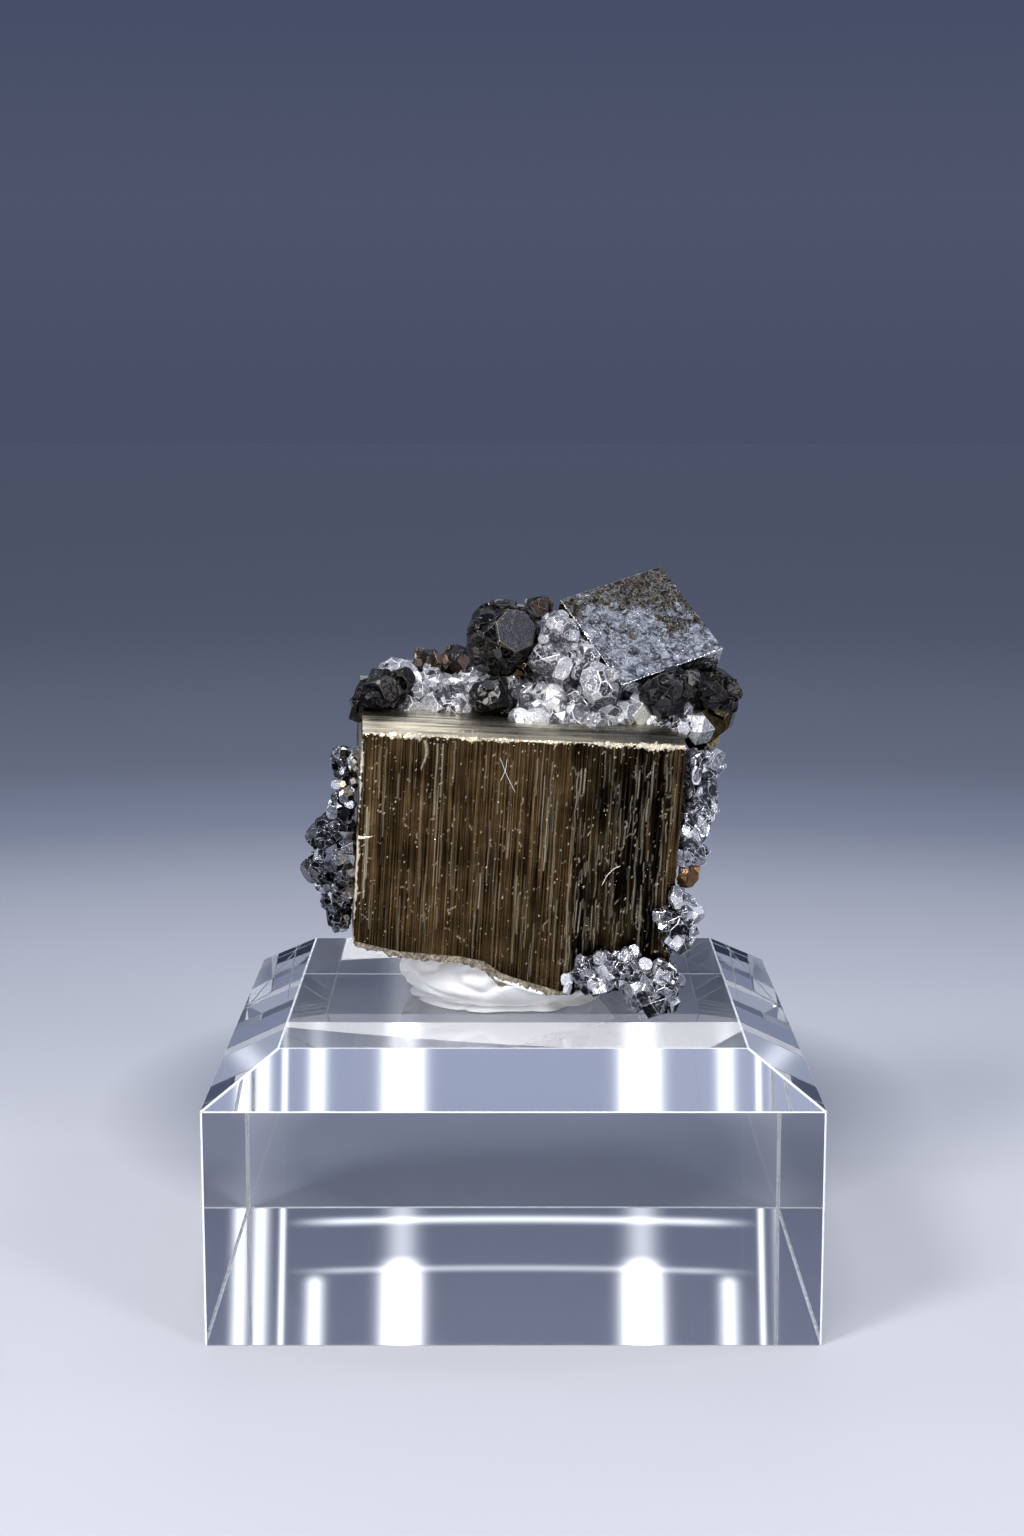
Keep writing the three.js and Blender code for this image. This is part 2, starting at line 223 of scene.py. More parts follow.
def pyrite_material():
    """Brassy metal, with lines along z on front and back, along x on top, along y on the sides. Top
    faces take paler copies of the front's colours: painted light on the top.
    """
    n = surface("pyrite")
    local = n.add(
        "VectorTransform", vector_type="NORMAL", convert_from="WORLD", convert_to="OBJECT")
    n.put(n.add("NewGeometry").outputs["True Normal"], local.inputs[0])
    facing = n.axes(n.vector("ABSOLUTE", local.outputs[0]))
    on_top = n.grey_ramp(facing["Z"], [(0.55, 0), (0.75, 1)])
    on_side = n.grey_ramp(facing["X"], [(0.6, 0), (0.75, 1)])
    scales = ((8.5, 0.6, 0.09), (0.12, 7.0, 0.6), (0.6, 0.12, 7.0))
    places = [n.coordinates(scale) for scale in scales]

    def along_lines(*settings):
        front, top, side = (n.noise(place, *settings) for place in places)
        return n.mix(on_side, n.mix(on_top, front, top), side)

    streak = along_lines(1.0, 4.0, 0.7)
    fine = along_lines(2.6, 2.0, 0.6)
    place = n.coordinates()
    broad = n.noise(place, 0.35, 3.0, 0.6)
    value = n.plus(n.times(streak, 0.75), n.times(broad, 0.25))
    brown = n.ramp(value, [
        (0.43, (0.008, 0.0045, 0.0018)), (0.51, (0.050, 0.031, 0.013)), (0.59, (0.145, 0.090, 0.038)),
        (0.68, (0.44, 0.32, 0.165)),
    ])
    olive = n.ramp(value, [
        (0.47, (0.0015, 0.0012, 0.0006)), (0.55, (0.008, 0.0064, 0.0032)), (0.62, (0.05, 0.042, 0.024)),
        (0.71, (0.26, 0.22, 0.14)),
    ])
    # Cream and drab: paler copies of brown and olive for the top faces, painted light on the top
    cream = n.ramp(value, [
        (0.36, (0.05, 0.047, 0.03)), (0.5, (0.30, 0.27, 0.195)), (0.64, (0.82, 0.76, 0.6)),
    ])
    drab = n.ramp(value, [
        (0.4, (0.02, 0.02, 0.014)), (0.52, (0.11, 0.105, 0.08)), (0.64, (0.5, 0.47, 0.38)),
    ])
    # dark: painted shade on the front's right part, also darker streaks on the lip
    dark = n.attribute("dark")
    # Top faces take the pale copies and front faces the dark ones: painted light and shade by the way a
    # face looks
    colour = n.mix(on_top, n.mix(dark, brown, olive), n.mix(dark, cream, drab))
    # light: pale lines, edge bands and specks, painted highlights and glints
    light = n.attribute("light")
    colour = n.mix(light, colour, (0.95, 0.83, 0.6))
    grain = n.noise(place, 14.0, 3.0, 0.6)
    roughness = n.plus(n.rough(grain, 0.2, 0.4), n.times(light, 0.15))
    normal = n.bump(fine, 0.4, 0.02, n.bump(streak, 0.5, 0.04))
    return n.set(Base_Color=colour, Metallic=1.0, Roughness=roughness, Normal=normal)


def coated_material():
    """Grey etched coating over pyrite, browner towards the highest corner."""
    n = surface("coated_pyrite")
    place = n.coordinates()
    patches = n.noise(place, 0.75, 4.0, 0.6)
    height = n.grey_ramp(n.times(n.axes(place)["Z"], 0.1), [(0.42, 0), (0.72, 1)])
    brown = n.grey_ramp(n.plus(patches, n.times(height, 0.3)), [(0.655, 0), (0.70, 1)])
    grain = n.noise(place, 2.2, 3.0, 0.6, 0.8)
    grey = n.ramp(grain, [
        (0.38, (0.035, 0.036, 0.044)), (0.5, (0.145, 0.15, 0.18)), (0.62, (0.46, 0.475, 0.53)),
    ])
    gold = n.ramp(grain, [
        (0.35, (0.014, 0.010, 0.005)), (0.52, (0.048, 0.035, 0.019)), (0.75, (0.20, 0.15, 0.085)),
    ])
    etch = n.attribute("etch")
    winding = n.math("MAXIMUM", worms(n, place, 3.4, 0.075), worms(n, place, 2.3, 0.04, 9.0))
    line = n.math("MAXIMUM", etch, n.times(winding, 0.8))
    base = n.mix(brown, grey, gold)
    shown = n.times(line, n.math("SUBTRACT", 0.85, n.times(brown, 0.45)))
    colour = n.mix(shown, base, (0.92, 0.92, 0.94))
    bumps = n.bump(line, 0.3, 0.02, n.bump(grain, 0.25, 0.02))
    rough = n.rough(grain, 0.16, 0.32)
    return n.set(Base_Color=colour, Metallic=1.0, Roughness=rough, Normal=bumps)


def crystal_material(
        name, stops, lines, metallic=1.0, roughness=(0.12, 0.3), edge=None, line_scale=2.6):
    """Crystal faces of uneven brightness, with fine winding growth lines and pale edges painted as
    highlights.
    """
    n = surface(name)
    place = n.coordinates()
    grain = n.noise(place, 2.6, 4.0, 0.65, 0.4)
    mixed = n.plus(n.times(grain, 0.35), n.times(n.attribute("tone"), 0.8))
    colour = n.ramp(mixed, stops)
    broad, narrow = worms(n, place, line_scale, 0.06), worms(n, place, line_scale * 0.55, 0.03, 7.0)
    line = n.math("MAXIMUM", broad, narrow)
    colour = n.mix(n.times(line, lines), colour, edge or stops[-1][1])
    # Rounded edge faces take the pale edge colour: painted highlights along the crystal edges
    if edge:
        colour = n.mix(n.times(n.attribute("edge"), 0.7), colour, edge)
    fine = n.noise(place, 8.0, 3.0, 0.6)
    normal = n.bump(line, 0.5, 0.03, n.bump(fine, 0.35, 0.02))
    rough = n.rough(fine, *roughness)
    return n.set(Base_Color=colour, Metallic=metallic, Roughness=rough, Normal=normal)


def putty_material():
    n = surface("putty")
    place = n.coordinates()
    soft = n.noise(place, 0.7, 4.0, 0.6, 0.8)
    colour = n.ramp(soft, [(0.3, (0.88, 0.87, 0.86)), (0.6, (0.97, 0.965, 0.955))])
    skin = n.noise(place, 3.5, 4.0, 0.6, 0.5)
    return n.set(
        Base_Color=colour, Roughness=0.85, Specular_IOR_Level=0.25, Normal=n.bump(skin, 0.3, 0.05),
        Subsurface_Weight=0.15, Subsurface_Scale=0.0005,
    )


def acrylic_material():
    n = surface("acrylic")
    wear = n.noise(n.coordinates(), 0.35)
    rough = n.grey_ramp(wear, [(0.45, 0.0), (0.8, 0.012)])
    return n.set(
        Base_Color=(0.985, 0.99, 1.0, 1), Roughness=rough, Transmission_Weight=1.0, IOR=ACRYLIC_IOR)


def block_edge_material():
    """The block's rounded edges, in a rough, pale, nearly opaque material, which paints them as bright
    highlight lines.
    """
    n = surface("acrylic_edge_highlight")
    wear = n.noise(n.coordinates(), 0.8, 3.0)
    rough = n.grey_ramp(wear, [(0.35, 0.2), (0.65, 0.4)])
    return n.set(
        Base_Color=(0.95, 0.97, 1.0, 1), Roughness=rough, Transmission_Weight=0.1, IOR=ACRYLIC_IOR)


def matrix_material():
    n = surface("matrix")
    place = n.coordinates()
    grain = n.noise(place, 4.0, 5.0, 0.7)
    colour = n.ramp(grain, [
        (0.32, (0.05, 0.040, 0.030)), (0.48, (0.19, 0.16, 0.12)), (0.64, (0.42, 0.36, 0.27)),
        (0.78, (0.8, 0.68, 0.46)),
    ])
    shine = n.grey_ramp(grain, [(0.55, 0.1), (0.75, 0.8)])
    return n.set(Base_Color=colour, Metallic=shine, Roughness=0.45, Normal=n.bump(grain, 0.7, 0.08))


def plain_metal(name, colour, roughness, metallic):
    """A small bright trim, with slight grain."""
    n = surface(name)
    rough = n.rough(n.noise(n.coordinates(), 12.0, 2.0), roughness * 0.8, roughness * 1.2)
    return n.set(Base_Color=(*colour, 1), Metallic=metallic, Roughness=rough)


PYRITE = pyrite_material()
COATED = coated_material()
# Each edge colour below is the painted highlight along that material's crystal edges
GALENA = crystal_material("galena", [
    (0.36, (0.004, 0.004, 0.006)), (0.60, (0.030, 0.031, 0.039)), (0.76, (0.30, 0.31, 0.36)),
    (0.88, (1.0, 1.0, 1.0)),
], 0.9, metallic=0.75, edge=(0.62, 0.63, 0.68))
DARK_GALENA = crystal_material("dark_galena", [
    (0.38, (0.003, 0.003, 0.004)), (0.62, (0.022, 0.023, 0.030)), (0.78, (0.24, 0.25, 0.29)),
    (0.9, (1.0, 1.0, 1.0)),
], 0.55, metallic=0.8, roughness=(0.08, 0.22), edge=(0.30, 0.30, 0.34))
CRUST = crystal_material("pale_galena", [
    (0.32, (0.03, 0.03, 0.034)), (0.52, (0.17, 0.17, 0.19)), (0.72, (0.50, 0.505, 0.54)),
    (0.88, (1.0, 1.0, 1.0)),
], 0.8, metallic=0.5, roughness=(0.2, 0.38), edge=(0.9, 0.9, 0.92), line_scale=4.2)
BLACK = crystal_material("dark_crystal", [
    (0.4, (0.0015, 0.0015, 0.002)), (0.75, (0.008, 0.008, 0.010)), (0.95, (0.06, 0.065, 0.08)),
], 0.3, metallic=0.6, roughness=(0.1, 0.24), edge=(0.10, 0.08, 0.062))
FACET = crystal_material("ball_facet", [
    (0.3, (0.010, 0.0105, 0.015)), (0.9, (0.045, 0.048, 0.066)),
], 0.35, metallic=0.7, roughness=(0.2, 0.35), edge=(0.3, 0.26, 0.2), line_scale=3.4)
BROWN = crystal_material("brown_crystal", [
    (0.3, (0.007, 0.004, 0.003)), (0.7, (0.030, 0.017, 0.012)), (0.95, (0.22, 0.15, 0.11)),
], 0.2, metallic=0.3, roughness=(0.12, 0.28), edge=(0.22, 0.16, 0.13))
ORANGE = crystal_material("orange_crystal", [
    (0.3, (0.03, 0.012, 0.004)), (0.7, (0.10, 0.045, 0.015)), (0.95, (0.42, 0.25, 0.11)),
], 0.2, metallic=0.4, roughness=(0.12, 0.28))
SIDE_GOLD = crystal_material("brown_pyrite", [
    (0.3, (0.006, 0.004, 0.002)), (0.65, (0.035, 0.023, 0.010)), (0.95, (0.36, 0.26, 0.13)),
], 0.15, roughness=(0.12, 0.26), edge=(0.5, 0.42, 0.28))
PALE = crystal_material("pale_crystal", [
    (0.3, (0.45, 0.46, 0.5)), (0.6, (0.75, 0.77, 0.8)), (0.95, (0.95, 0.96, 1.0)),
], 0.3, metallic=0.2)
PUTTY = putty_material()
ACRYLIC = acrylic_material()
BLOCK_EDGE_HIGHLIGHT = block_edge_material()
MATRIX = matrix_material()
# Bright pale gold for the lumps and specks that stand in for glints: painted highlights
SPARK = plain_metal("glint_specks", (0.95, 0.86, 0.66), 0.2, 0.6)
DUST = plain_metal("pale_dust", (0.85, 0.83, 0.76), 0.5, 0.0)


# Meshes

def make_piece(name, vertices, faces, material, replaced=(), in_specimen=True, values=None):
    """A piece from points in millimetres, in the specimen's frame or the block's.

    values holds numbers for the material, by name: one for each point or one for each face.
    """
    mesh = bpy.data.meshes.new(name)
    mesh.from_pydata((np.asarray(vertices, float) * MM).tolist(), [], faces)
    mesh.materials.append(material)
    for key, numbers in (values or {}).items():
        domain = "POINT" if len(numbers) == len(vertices) else "FACE"
        attribute = mesh.attributes.new(key, "FLOAT", domain)
        attribute.data.foreach_set("value", np.asarray(numbers, np.float32))
    mesh.update()
    piece = bpy.data.objects.new(name, mesh)
    bpy.context.scene.collection.objects.link(piece)
    if in_specimen:
        piece.matrix_world = SPECIMEN
    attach(piece, "root")
    if replaced:
        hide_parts(*replaced)
    return piece


def tidy_faces(piece):
    """Joins points that coincide, drops edges without a face and turns every face outwards."""
    shape = bmesh.new()
    shape.from_mesh(piece.data)
    bmesh.ops.remove_doubles(shape, verts=shape.verts, dist=1e-8)
    bmesh.ops.delete(shape, geom=[e for e in shape.edges if not e.link_faces], context="EDGES")
    bmesh.ops.recalc_face_normals(shape, faces=shape.faces)
    shape.to_mesh(piece.data)
    shape.free()


def box_grid(*size):
    """A closed box surface as a lattice: integer corners (i, j, k) and quads facing out."""
    ids, quads = {}, []
    for u, v, across in ((0, 2, 1), (1, 2, 0), (0, 1, 2)):
        for a, b in itertools.product(range(size[u]), range(size[v])):
            for level, flip in ((0, across != 1), (size[across], across == 1)):
                quad = []
                for du, dv in ((0, 0), (1, 0), (1, 1), (0, 1)):
                    corner = [level] * 3
                    corner[u], corner[v] = a + du, b + dv
                    quad.append(ids.setdefault(tuple(corner), len(ids)))
                quads.append(quad[::-1] if flip else quad)
    return np.array(list(ids)), quads


def tube_faces(lengths, sides):
    """Quads round a tube, whose points come ring by ring."""
    return [
        [n + s, n + (s + 1) % sides, n + sides + (s + 1) % sides, n + sides + s]
        for n in range(0, lengths * sides, sides) for s in range(sides)
    ]


def value_noise(rng, u, v):
    """Smooth random values between about -1 and 1, with one knot to each unit of u and v."""
    u, v = u - u.min(), v - v.min()
    lattice = rng.uniform(-1, 1, (int(u.max()) + 3, int(v.max()) + 3))
    iu, iv = u.astype(int), v.astype(int)
    fu, fv = u - iu, v - iv
    fu, fv = fu * fu * (3 - 2 * fu), fv * fv * (3 - 2 * fv)
    low = lattice[iu, iv] * (1 - fu) + lattice[iu + 1, iv] * fu
    high = lattice[iu, iv + 1] * (1 - fu) + lattice[iu + 1, iv + 1] * fu
    return low * (1 - fv) + high * fv


def broken_edge(x):
    """The height of the large cube's lower front edge."""
    return np.interp(x, *zip(*BROKEN_EDGE))


def paint(field, us, vs, path, width, strength):
    """Raises a grid of values along a path, in the grid's own units."""
    reach = 3 if width < 0.07 else 8
    for u, v in path:
        i, j = np.searchsorted(us, u), np.searchsorted(vs, v)
        rows = slice(max(0, i - reach), i + reach + 1)
        columns = slice(max(0, j - reach), j + reach + 1)
        window = field[rows, columns]
        if window.size:
            away = (us[rows, None] - u) ** 2 + (vs[None, columns] - v) ** 2
            np.maximum(window, strength * np.exp(-away / (2 * width * width)), out=window)


def upright_path(rng, x, top, length, lean=0.02, waver=0.04):
    """Points down a nearly vertical line."""
    steps = np.arange(0, length, 0.045)
    phase, period = rng.uniform(0, 6.3), rng.uniform(1.2, 4.0)
    return [(x + lean * t + waver * math.sin(phase + 6.3 * t / period), top - t) for t in steps]


def loop_path(rng, x, top, length, width):
    """Points round a narrow upright loop, open at the top."""
    down = upright_path(rng, x, top, length, 0.0, 0.02)
    round_end = [
        (x + width / 2 - width / 2 * math.cos(a), top - length - width * math.sin(a))
        for a in np.linspace(0, math.pi, 7)
    ]
    up = [(u + width, v) for u, v in reversed(down[int(len(down) * rng.uniform(0, 0.6)):])]
    return down + round_end + up


CURVE_STEP = 0.04


def curved_path(u, v, heading, bend, count):
    """A number of points along a short curve."""
    path = []
    for _ in range(count):
        path.append((u, v))
        u += CURVE_STEP * math.cos(heading)
        v += CURVE_STEP * math.sin(heading)
        heading += bend * CURVE_STEP
    return path


def profile(rng, low, high, step):
    """A random function of one coordinate, with knots about a step apart."""
    knots = np.cumsum(rng.uniform(0.4, 1.6, int((high - low) / step) + 4) * step) + low - step
    values = rng.uniform(-1, 1, len(knots))
    return lambda at: np.interp(at, knots, values)


def front_pattern(rng, xs, zs):
    """The front face's relief in mm, its pale lines, painted as highlights, and its dark part, painted
    shade, over a grid of x and z.
    """
    x, z = np.meshgrid(xs, zs, indexing="ij")
    uniform = rng.uniform
    edge = np.interp(z, *FACET_EDGE) + 0.06 * value_noise(rng, x * 0, z * 1.5)
    right = np.clip((x - edge) / 0.08, 0, 1)
    bent = x + 0.07 * value_noise(rng, x * 0.5, z * 0.45)
    fine, middle, broad = (profile(rng, -9.5, 9.5, step) for step in (0.11, 0.34, 1.3))
    relief = 0.012 * fine(bent) + 0.016 * middle(bent) + 0.018 * broad(bent)
    relief += right * (0.02 * middle(bent * 1.7 + 3) + 0.02 * value_noise(rng, x * 3, z * 0.6))
    light = np.zeros_like(x)
    shade = np.zeros_like(x)
    # light: pale lines, squiggles and specks, painted as highlights and glints on the striations
    for _ in range(44):
        path = upright_path(rng, uniform(-8.6, 2.4), uniform(-12, 0), uniform(0.6, 6), 0.0, 0.02)
        paint(light, xs, zs, path, 0.02, uniform(0.06, 0.26))
    for u, top, length, strength in (
        (-4.72, -0.5, 4.6, 0.5), (-4.42, -0.5, 3.4, 0.45), (-4.55, -3.2, 6.5, 0.28),
        (-3.78, -0.3, 2.6, 0.3), (-6.7, -2.6, 1.6, 0.3), (0.72, -1.0, 2.2, 0.3), (1.15, -2.0, 4.8, 0.3),
        (1.42, -3.2, 4.2, 0.5), (1.9, -3.4, 7.5, 0.2), (-8.3, -4.9, 6.2, 0.7), (-8.2, -5.2, 4.5, 0.5),
        (-1.3, -2.6, 2.0, 0.2), (0.15, -9.0, 2.4, 0.3), (-0.6, -5.6, 1.5, 0.3), (-2.0, -8.5, 2.2, 0.5),
        (2.25, -9.0, 3.5, 0.25),
    ):
        paint(light, xs, zs, upright_path(rng, u, top, length, 0.0, 0.012), 0.021, strength)
    for shift in (0.0, 0.05, 0.1):
        steps = np.arange(0, 1.8 - 9 * shift, 0.04)
        blade = [(-5.45 + shift + 0.12 * math.sin(2.2 * t), -0.35 - t) for t in steps]
        paint(light, xs, zs, blade, 0.024, 0.45)
    for _ in range(150):
        x0 = uniform(2.7, 8.6)
        path = upright_path(rng, x0, uniform(-12.5, 0), rng.gamma(2, 0.8), rng.normal(0, 0.01), 0.03)
        paint(light, xs, zs, path, uniform(0.014, 0.022), uniform(0.05, 0.4))
    for _ in range(10):
        path = loop_path(rng, uniform(3, 8), uniform(-10, -0.6), uniform(0.5, 2.2), uniform(0.15, 0.4))
        paint(light, xs, zs, path, 0.019, uniform(0.2, 0.6))
    for _ in range(60):
        path = upright_path(rng, uniform(2.7, 8.6), uniform(-12, 0), rng.gamma(2, 1.2))
        paint(shade, xs, zs, path, uniform(0.08, 0.2), 1.0)
    for _ in range(70):
        x0, z0, length = uniform(-8.5, 8.5), uniform(-13, -0.3), uniform(0.12, 0.5)
        count = int(length / CURVE_STEP)
        path = curved_path(x0, z0, uniform(0, 6.3), rng.normal(0, 3.0), count)
        paint(light, xs, zs, path, 0.018, uniform(0.3, 0.8))
    for _ in range(480):
        at = (uniform(-8.6, 8.6), uniform(-13.2, -0.1))
        dash = [at, (at[0], at[1] - rng.choice([0, 0, 0, 0.05]))]
        paint(light, xs, zs, dash, uniform(0.012, 0.022), uniform(0.5, 1.0))
    relief += 0.014 * light - 0.03 * shade
    brown_strip = x - 8.0 - 0.1 * value_noise(rng, x * 0, z * 0.8)
    right = right * np.clip(1 - 0.8 * brown_strip / 0.15, 0.2, 1)
    # dark: painted shade over the right part of the front, standing for that facet's darker reflection
    dark = right * np.clip(0.72 + 0.3 * shade + 0.35 * value_noise(rng, x * 1.6, z * 0.35), 0, 1)
    return relief, light, dark


def edge_thickness(xs, rng):
    """How far down the front face its chipped top edge, painted pale as a highlight, reaches, along x.
    """
    thick = 0.07 + 0.07 * value_noise(rng, xs * 1.4, xs * 0)
    thick += 0.05 * value_noise(rng, xs * 6, xs * 0)
    for centre, spread, more in (
        (-6.9, 0.28, 0.20), (-5.9, 0.3, 0.22), (-3.0, 0.5, 0.10), (-1.35, 0.5, 0.18), (1.2, 0.4, 0.08),
        (4.5, 0.45, 0.22), (6.9, 0.5, 0.30), (8.3, 0.3, 0.12),
    ):
        thick += more * np.exp(-((xs - centre) / spread) ** 2)
    return np.maximum(0.05, thick)


def main_cube():
    """The large cube. Its front and the front strip of its top are one fine sheet."""
    rng = np.random.default_rng(3)
    xs = np.linspace(-CUBE_HALF_WIDTH, CUBE_HALF_WIDTH, 381)
    down = np.concatenate([np.linspace(0, 0.5, 15), np.linspace(0.5, FRONT_SHEET, 152)[1:]])
    relief, light, dark = (grid[:, ::-1] for grid in front_pattern(rng, xs, -down[::-1]))
    x, depth = np.meshgrid(xs, down, indexing="ij")
    ragged = 0.12 * value_noise(rng, xs * 2.4, xs * 0) + 0.07 * value_noise(rng, xs * 7, xs * 0)
    z = depth * ((broken_edge(xs) + ragged) / FRONT_SHEET)[:, None]
    past = np.maximum(0, x - np.interp(z, *FACET_EDGE))
    y = -relief + np.minimum(past, 0.2) * 0.4 + past * 0.035

    thick = edge_thickness(xs, rng)
    chips = 0.5 + 0.5 * value_noise(rng, x * 2.2, z * 3.0) + 0.4 * value_noise(rng, x * 9, z * 9)
    near = np.clip(1 + z / (1.3 * thick[:, None]), 0, 1)
    y += near * thick[:, None] * np.maximum(0, chips) * 0.8
    # bright and left_rim: pale bands along the top and left edges, painted highlights
    bright = np.clip(1.6 * (1 + z / thick[:, None]), 0, 1) * np.clip(0.35 + chips * 0.8, 0, 1)
    light = np.maximum(light, bright)
    from_left = x + CUBE_HALF_WIDTH
    left_rim = 0.05 + 0.09 * value_noise(rng, x * 0, z * 1.1)
    left_rim += 0.06 * value_noise(rng, x * 0, z * 6)
    light = np.maximum(light, np.clip((left_rim - from_left) / 0.05, 0, 0.8))
    top_drop = 0.25 * thick * np.maximum(0, chips[:, 0])
    z = z - near * top_drop[:, None]

    lip = np.concatenate([[0.02, 0.05, 0.09], np.linspace(0.13, LIP_SHEET, 27)])
    lip_x, lip_y = np.meshgrid(xs, lip, indexing="ij")
    lip_y = lip_y + y[:, :1] * np.clip(1 - lip_y / 1.2, 0, 1)
    slope = np.interp(lip, [0, LIP_RUN, LIP_SHEET], [0, LIP_RISE, LIP_RISE])
    lines = profile(rng, -0.5, 3.2, 0.10)
    wander = lip_y + 0.05 * value_noise(rng, lip_x * 0.4, lip_y * 0.8)
    lip_z = slope[None, :] + 0.016 * lines(wander)
    lip_z += 0.012 * value_noise(rng, lip_x * 0.9, lip_y * 5)
    lip_z -= np.clip(1 - lip_y / 0.35, 0, 1) * top_drop[:, None]
    # Pale streaks on the lip, paler to the left and near the edge, and the pale band along the edge are
    # painted highlights; lip_dark darkens streaks more to the right and further back
    fade = np.clip(1.0 - 0.05 * (lip_x + CUBE_HALF_WIDTH) - 0.16 * lip_y, 0.1, 1)
    streaky = 0.42 + 0.7 * profile(rng, -0.5, 3.2, 0.07)(wander)
    streaky += 0.5 * value_noise(rng, lip_x * 0.5, lip_y * 6)
    pale_rim = np.clip(1 - lip_y / (0.7 * thick[:, None] + y[:, :1]), 0, 1) * 0.95
    lip_light = np.maximum(np.clip(fade * streaky * 1.4, 0, 0.95), pale_rim)
    lip_dark = 0.25 + 0.05 * lip_x + 0.7 * value_noise(rng, lip_x * 0.35, lip_y * 3.0)
    lip_dark = np.clip(lip_dark, 0, 0.85) * np.clip(lip_y / 0.5 - 0.4, 0, 1)
    lip_light *= 1 - 0.7 * lip_dark

    front = np.stack([x, y, z], 2)[:, ::-1]
    sheet = np.concatenate([front, np.stack([lip_x, lip_y, lip_z], 2)], axis=1)
    row = np.arange(sheet.shape[1]) * 0.5
    sheet[0, :, 0] -= 0.03 * value_noise(rng, row, row * 0)
    sheet[-1, :, 0] += 0.03 * value_noise(rng, row, row * 0)
    lights = np.concatenate([light[:, ::-1], lip_light], 1)
    darks = np.concatenate([dark[:, ::-1], lip_dark], 1)
    cube_round_sheet(rng, sheet, len(down), lights, darks)


def cube_round_sheet(rng, sheet, front_rows, lights, darks):
    """Closes the cube behind its front sheet, with striated strips for the other faces."""
    columns, rows = sheet.shape[0] - 1, sheet.shape[1]
    points = sheet.reshape(-1, 3).tolist()
    light, dark = lights.ravel().tolist(), darks.ravel().tolist()

    def at(i, r):
        return i * rows + r

    def new(x, y, z):
        points.append((x, y, z))
        light.append(0.0)
        dark.append(0.0)
        return len(points) - 1

    faces = [
        [at(i, r), at(i + 1, r), at(i + 1, r + 1), at(i, r + 1)]
        for i in range(columns) for r in range(rows - 1)
    ]
    top_y = np.linspace(LIP_SHEET, CUBE_DEPTH, 80)[1:-1]
    heights = LIP_RISE + 0.02 * profile(rng, 0, 16, 0.16)(top_y)
    left_top = [new(sheet[0, -1, 0], y, z) for y, z in zip(top_y, heights)]
    right_top = [new(sheet[-1, -1, 0], y, z) for y, z in zip(top_y, heights)]
    xs, zs = sheet[:, 0, 0], sheet[:, 0, 2]
    ribs = 0.03 * profile(rng, -10, 10, 0.12)(xs) + 0.03 * profile(rng, -10, 10, 0.6)(xs)
    back_top = [new(x, CUBE_DEPTH + rib, LIP_RISE) for x, rib in zip(xs, ribs)]
    jags = sum(0.16 / step * value_noise(rng, xs * step, xs * 0) for step in (0.8, 2.3, 6))
    back_bottom = [new(x, CUBE_DEPTH + rib, z + jag) for x, rib, z, jag in zip(xs, ribs, zs, jags)]

    def side(i, top, corner_top, corner_bottom):
        depth = points[corner_bottom][1]
        back = [new(sheet[i, r, 0], depth, sheet[i, r, 2]) for r in range(1, front_rows - 1)]
        back = [corner_bottom] + back + [corner_top]
        made = [[at(i, r), at(i, r + 1), back[r + 1], back[r]] for r in range(front_rows - 2)]
        made.append(
            [at(i, r) for r in range(front_rows - 2, rows)] + top + [corner_top, back[front_rows - 2]])
        return made, back

    left, back_left = side(0, left_top, back_top[0], back_bottom[0])
    right, back_right = side(columns, right_top, back_top[-1], back_bottom[-1])
    faces += left + right
    faces.append([at(i, rows - 1) for i in range(columns + 1)] + [right_top[0], left_top[0]])
    faces += [
        [left_top[m], right_top[m], right_top[m + 1], left_top[m + 1]] for m in range(len(top_y) - 1)
    ]
    faces.append([left_top[-1], right_top[-1]] + back_top[::-1])
    faces += [
        [back_top[i], back_top[i + 1], back_bottom[i + 1], back_bottom[i]]
        for i in range(1, columns - 1)
    ]
    faces.append([back_top[0], back_top[1], back_bottom[1]] + back_left[:-1])
    faces.append(
        [back_top[-1]] + back_right[1:-1][::-1] + [back_bottom[-1], back_bottom[-2], back_top[-2]])
    faces += [[at(i + 1, 0), at(i, 0), back_bottom[i], back_bottom[i + 1]] for i in range(columns)]
    piece = make_piece(
        "pyrite_cube", points, faces, PYRITE, ["main_pyrite_cube"],
        values={"light": light, "dark": dark})
    tidy_faces(piece)


def etched_field(rng, cells, strokes, size):
    """A square map of short curved strokes, half of them in two main directions."""
    us = np.linspace(0, size, cells + 1)
    field = np.zeros((cells + 1, cells + 1))
    for _ in range(strokes):
        u, v = rng.uniform(0, size, 2)
        heading = rng.choice([0.25, 1.82, rng.uniform(0, 2 * math.pi), rng.uniform(0, 2 * math.pi)])
        path = curved_path(u, v, heading, rng.normal(0, 2.6), int(rng.uniform(4, 22)))
        paint(field, us, us, path, rng.uniform(0.018, 0.026), rng.uniform(0.2, 1.0))
    return field


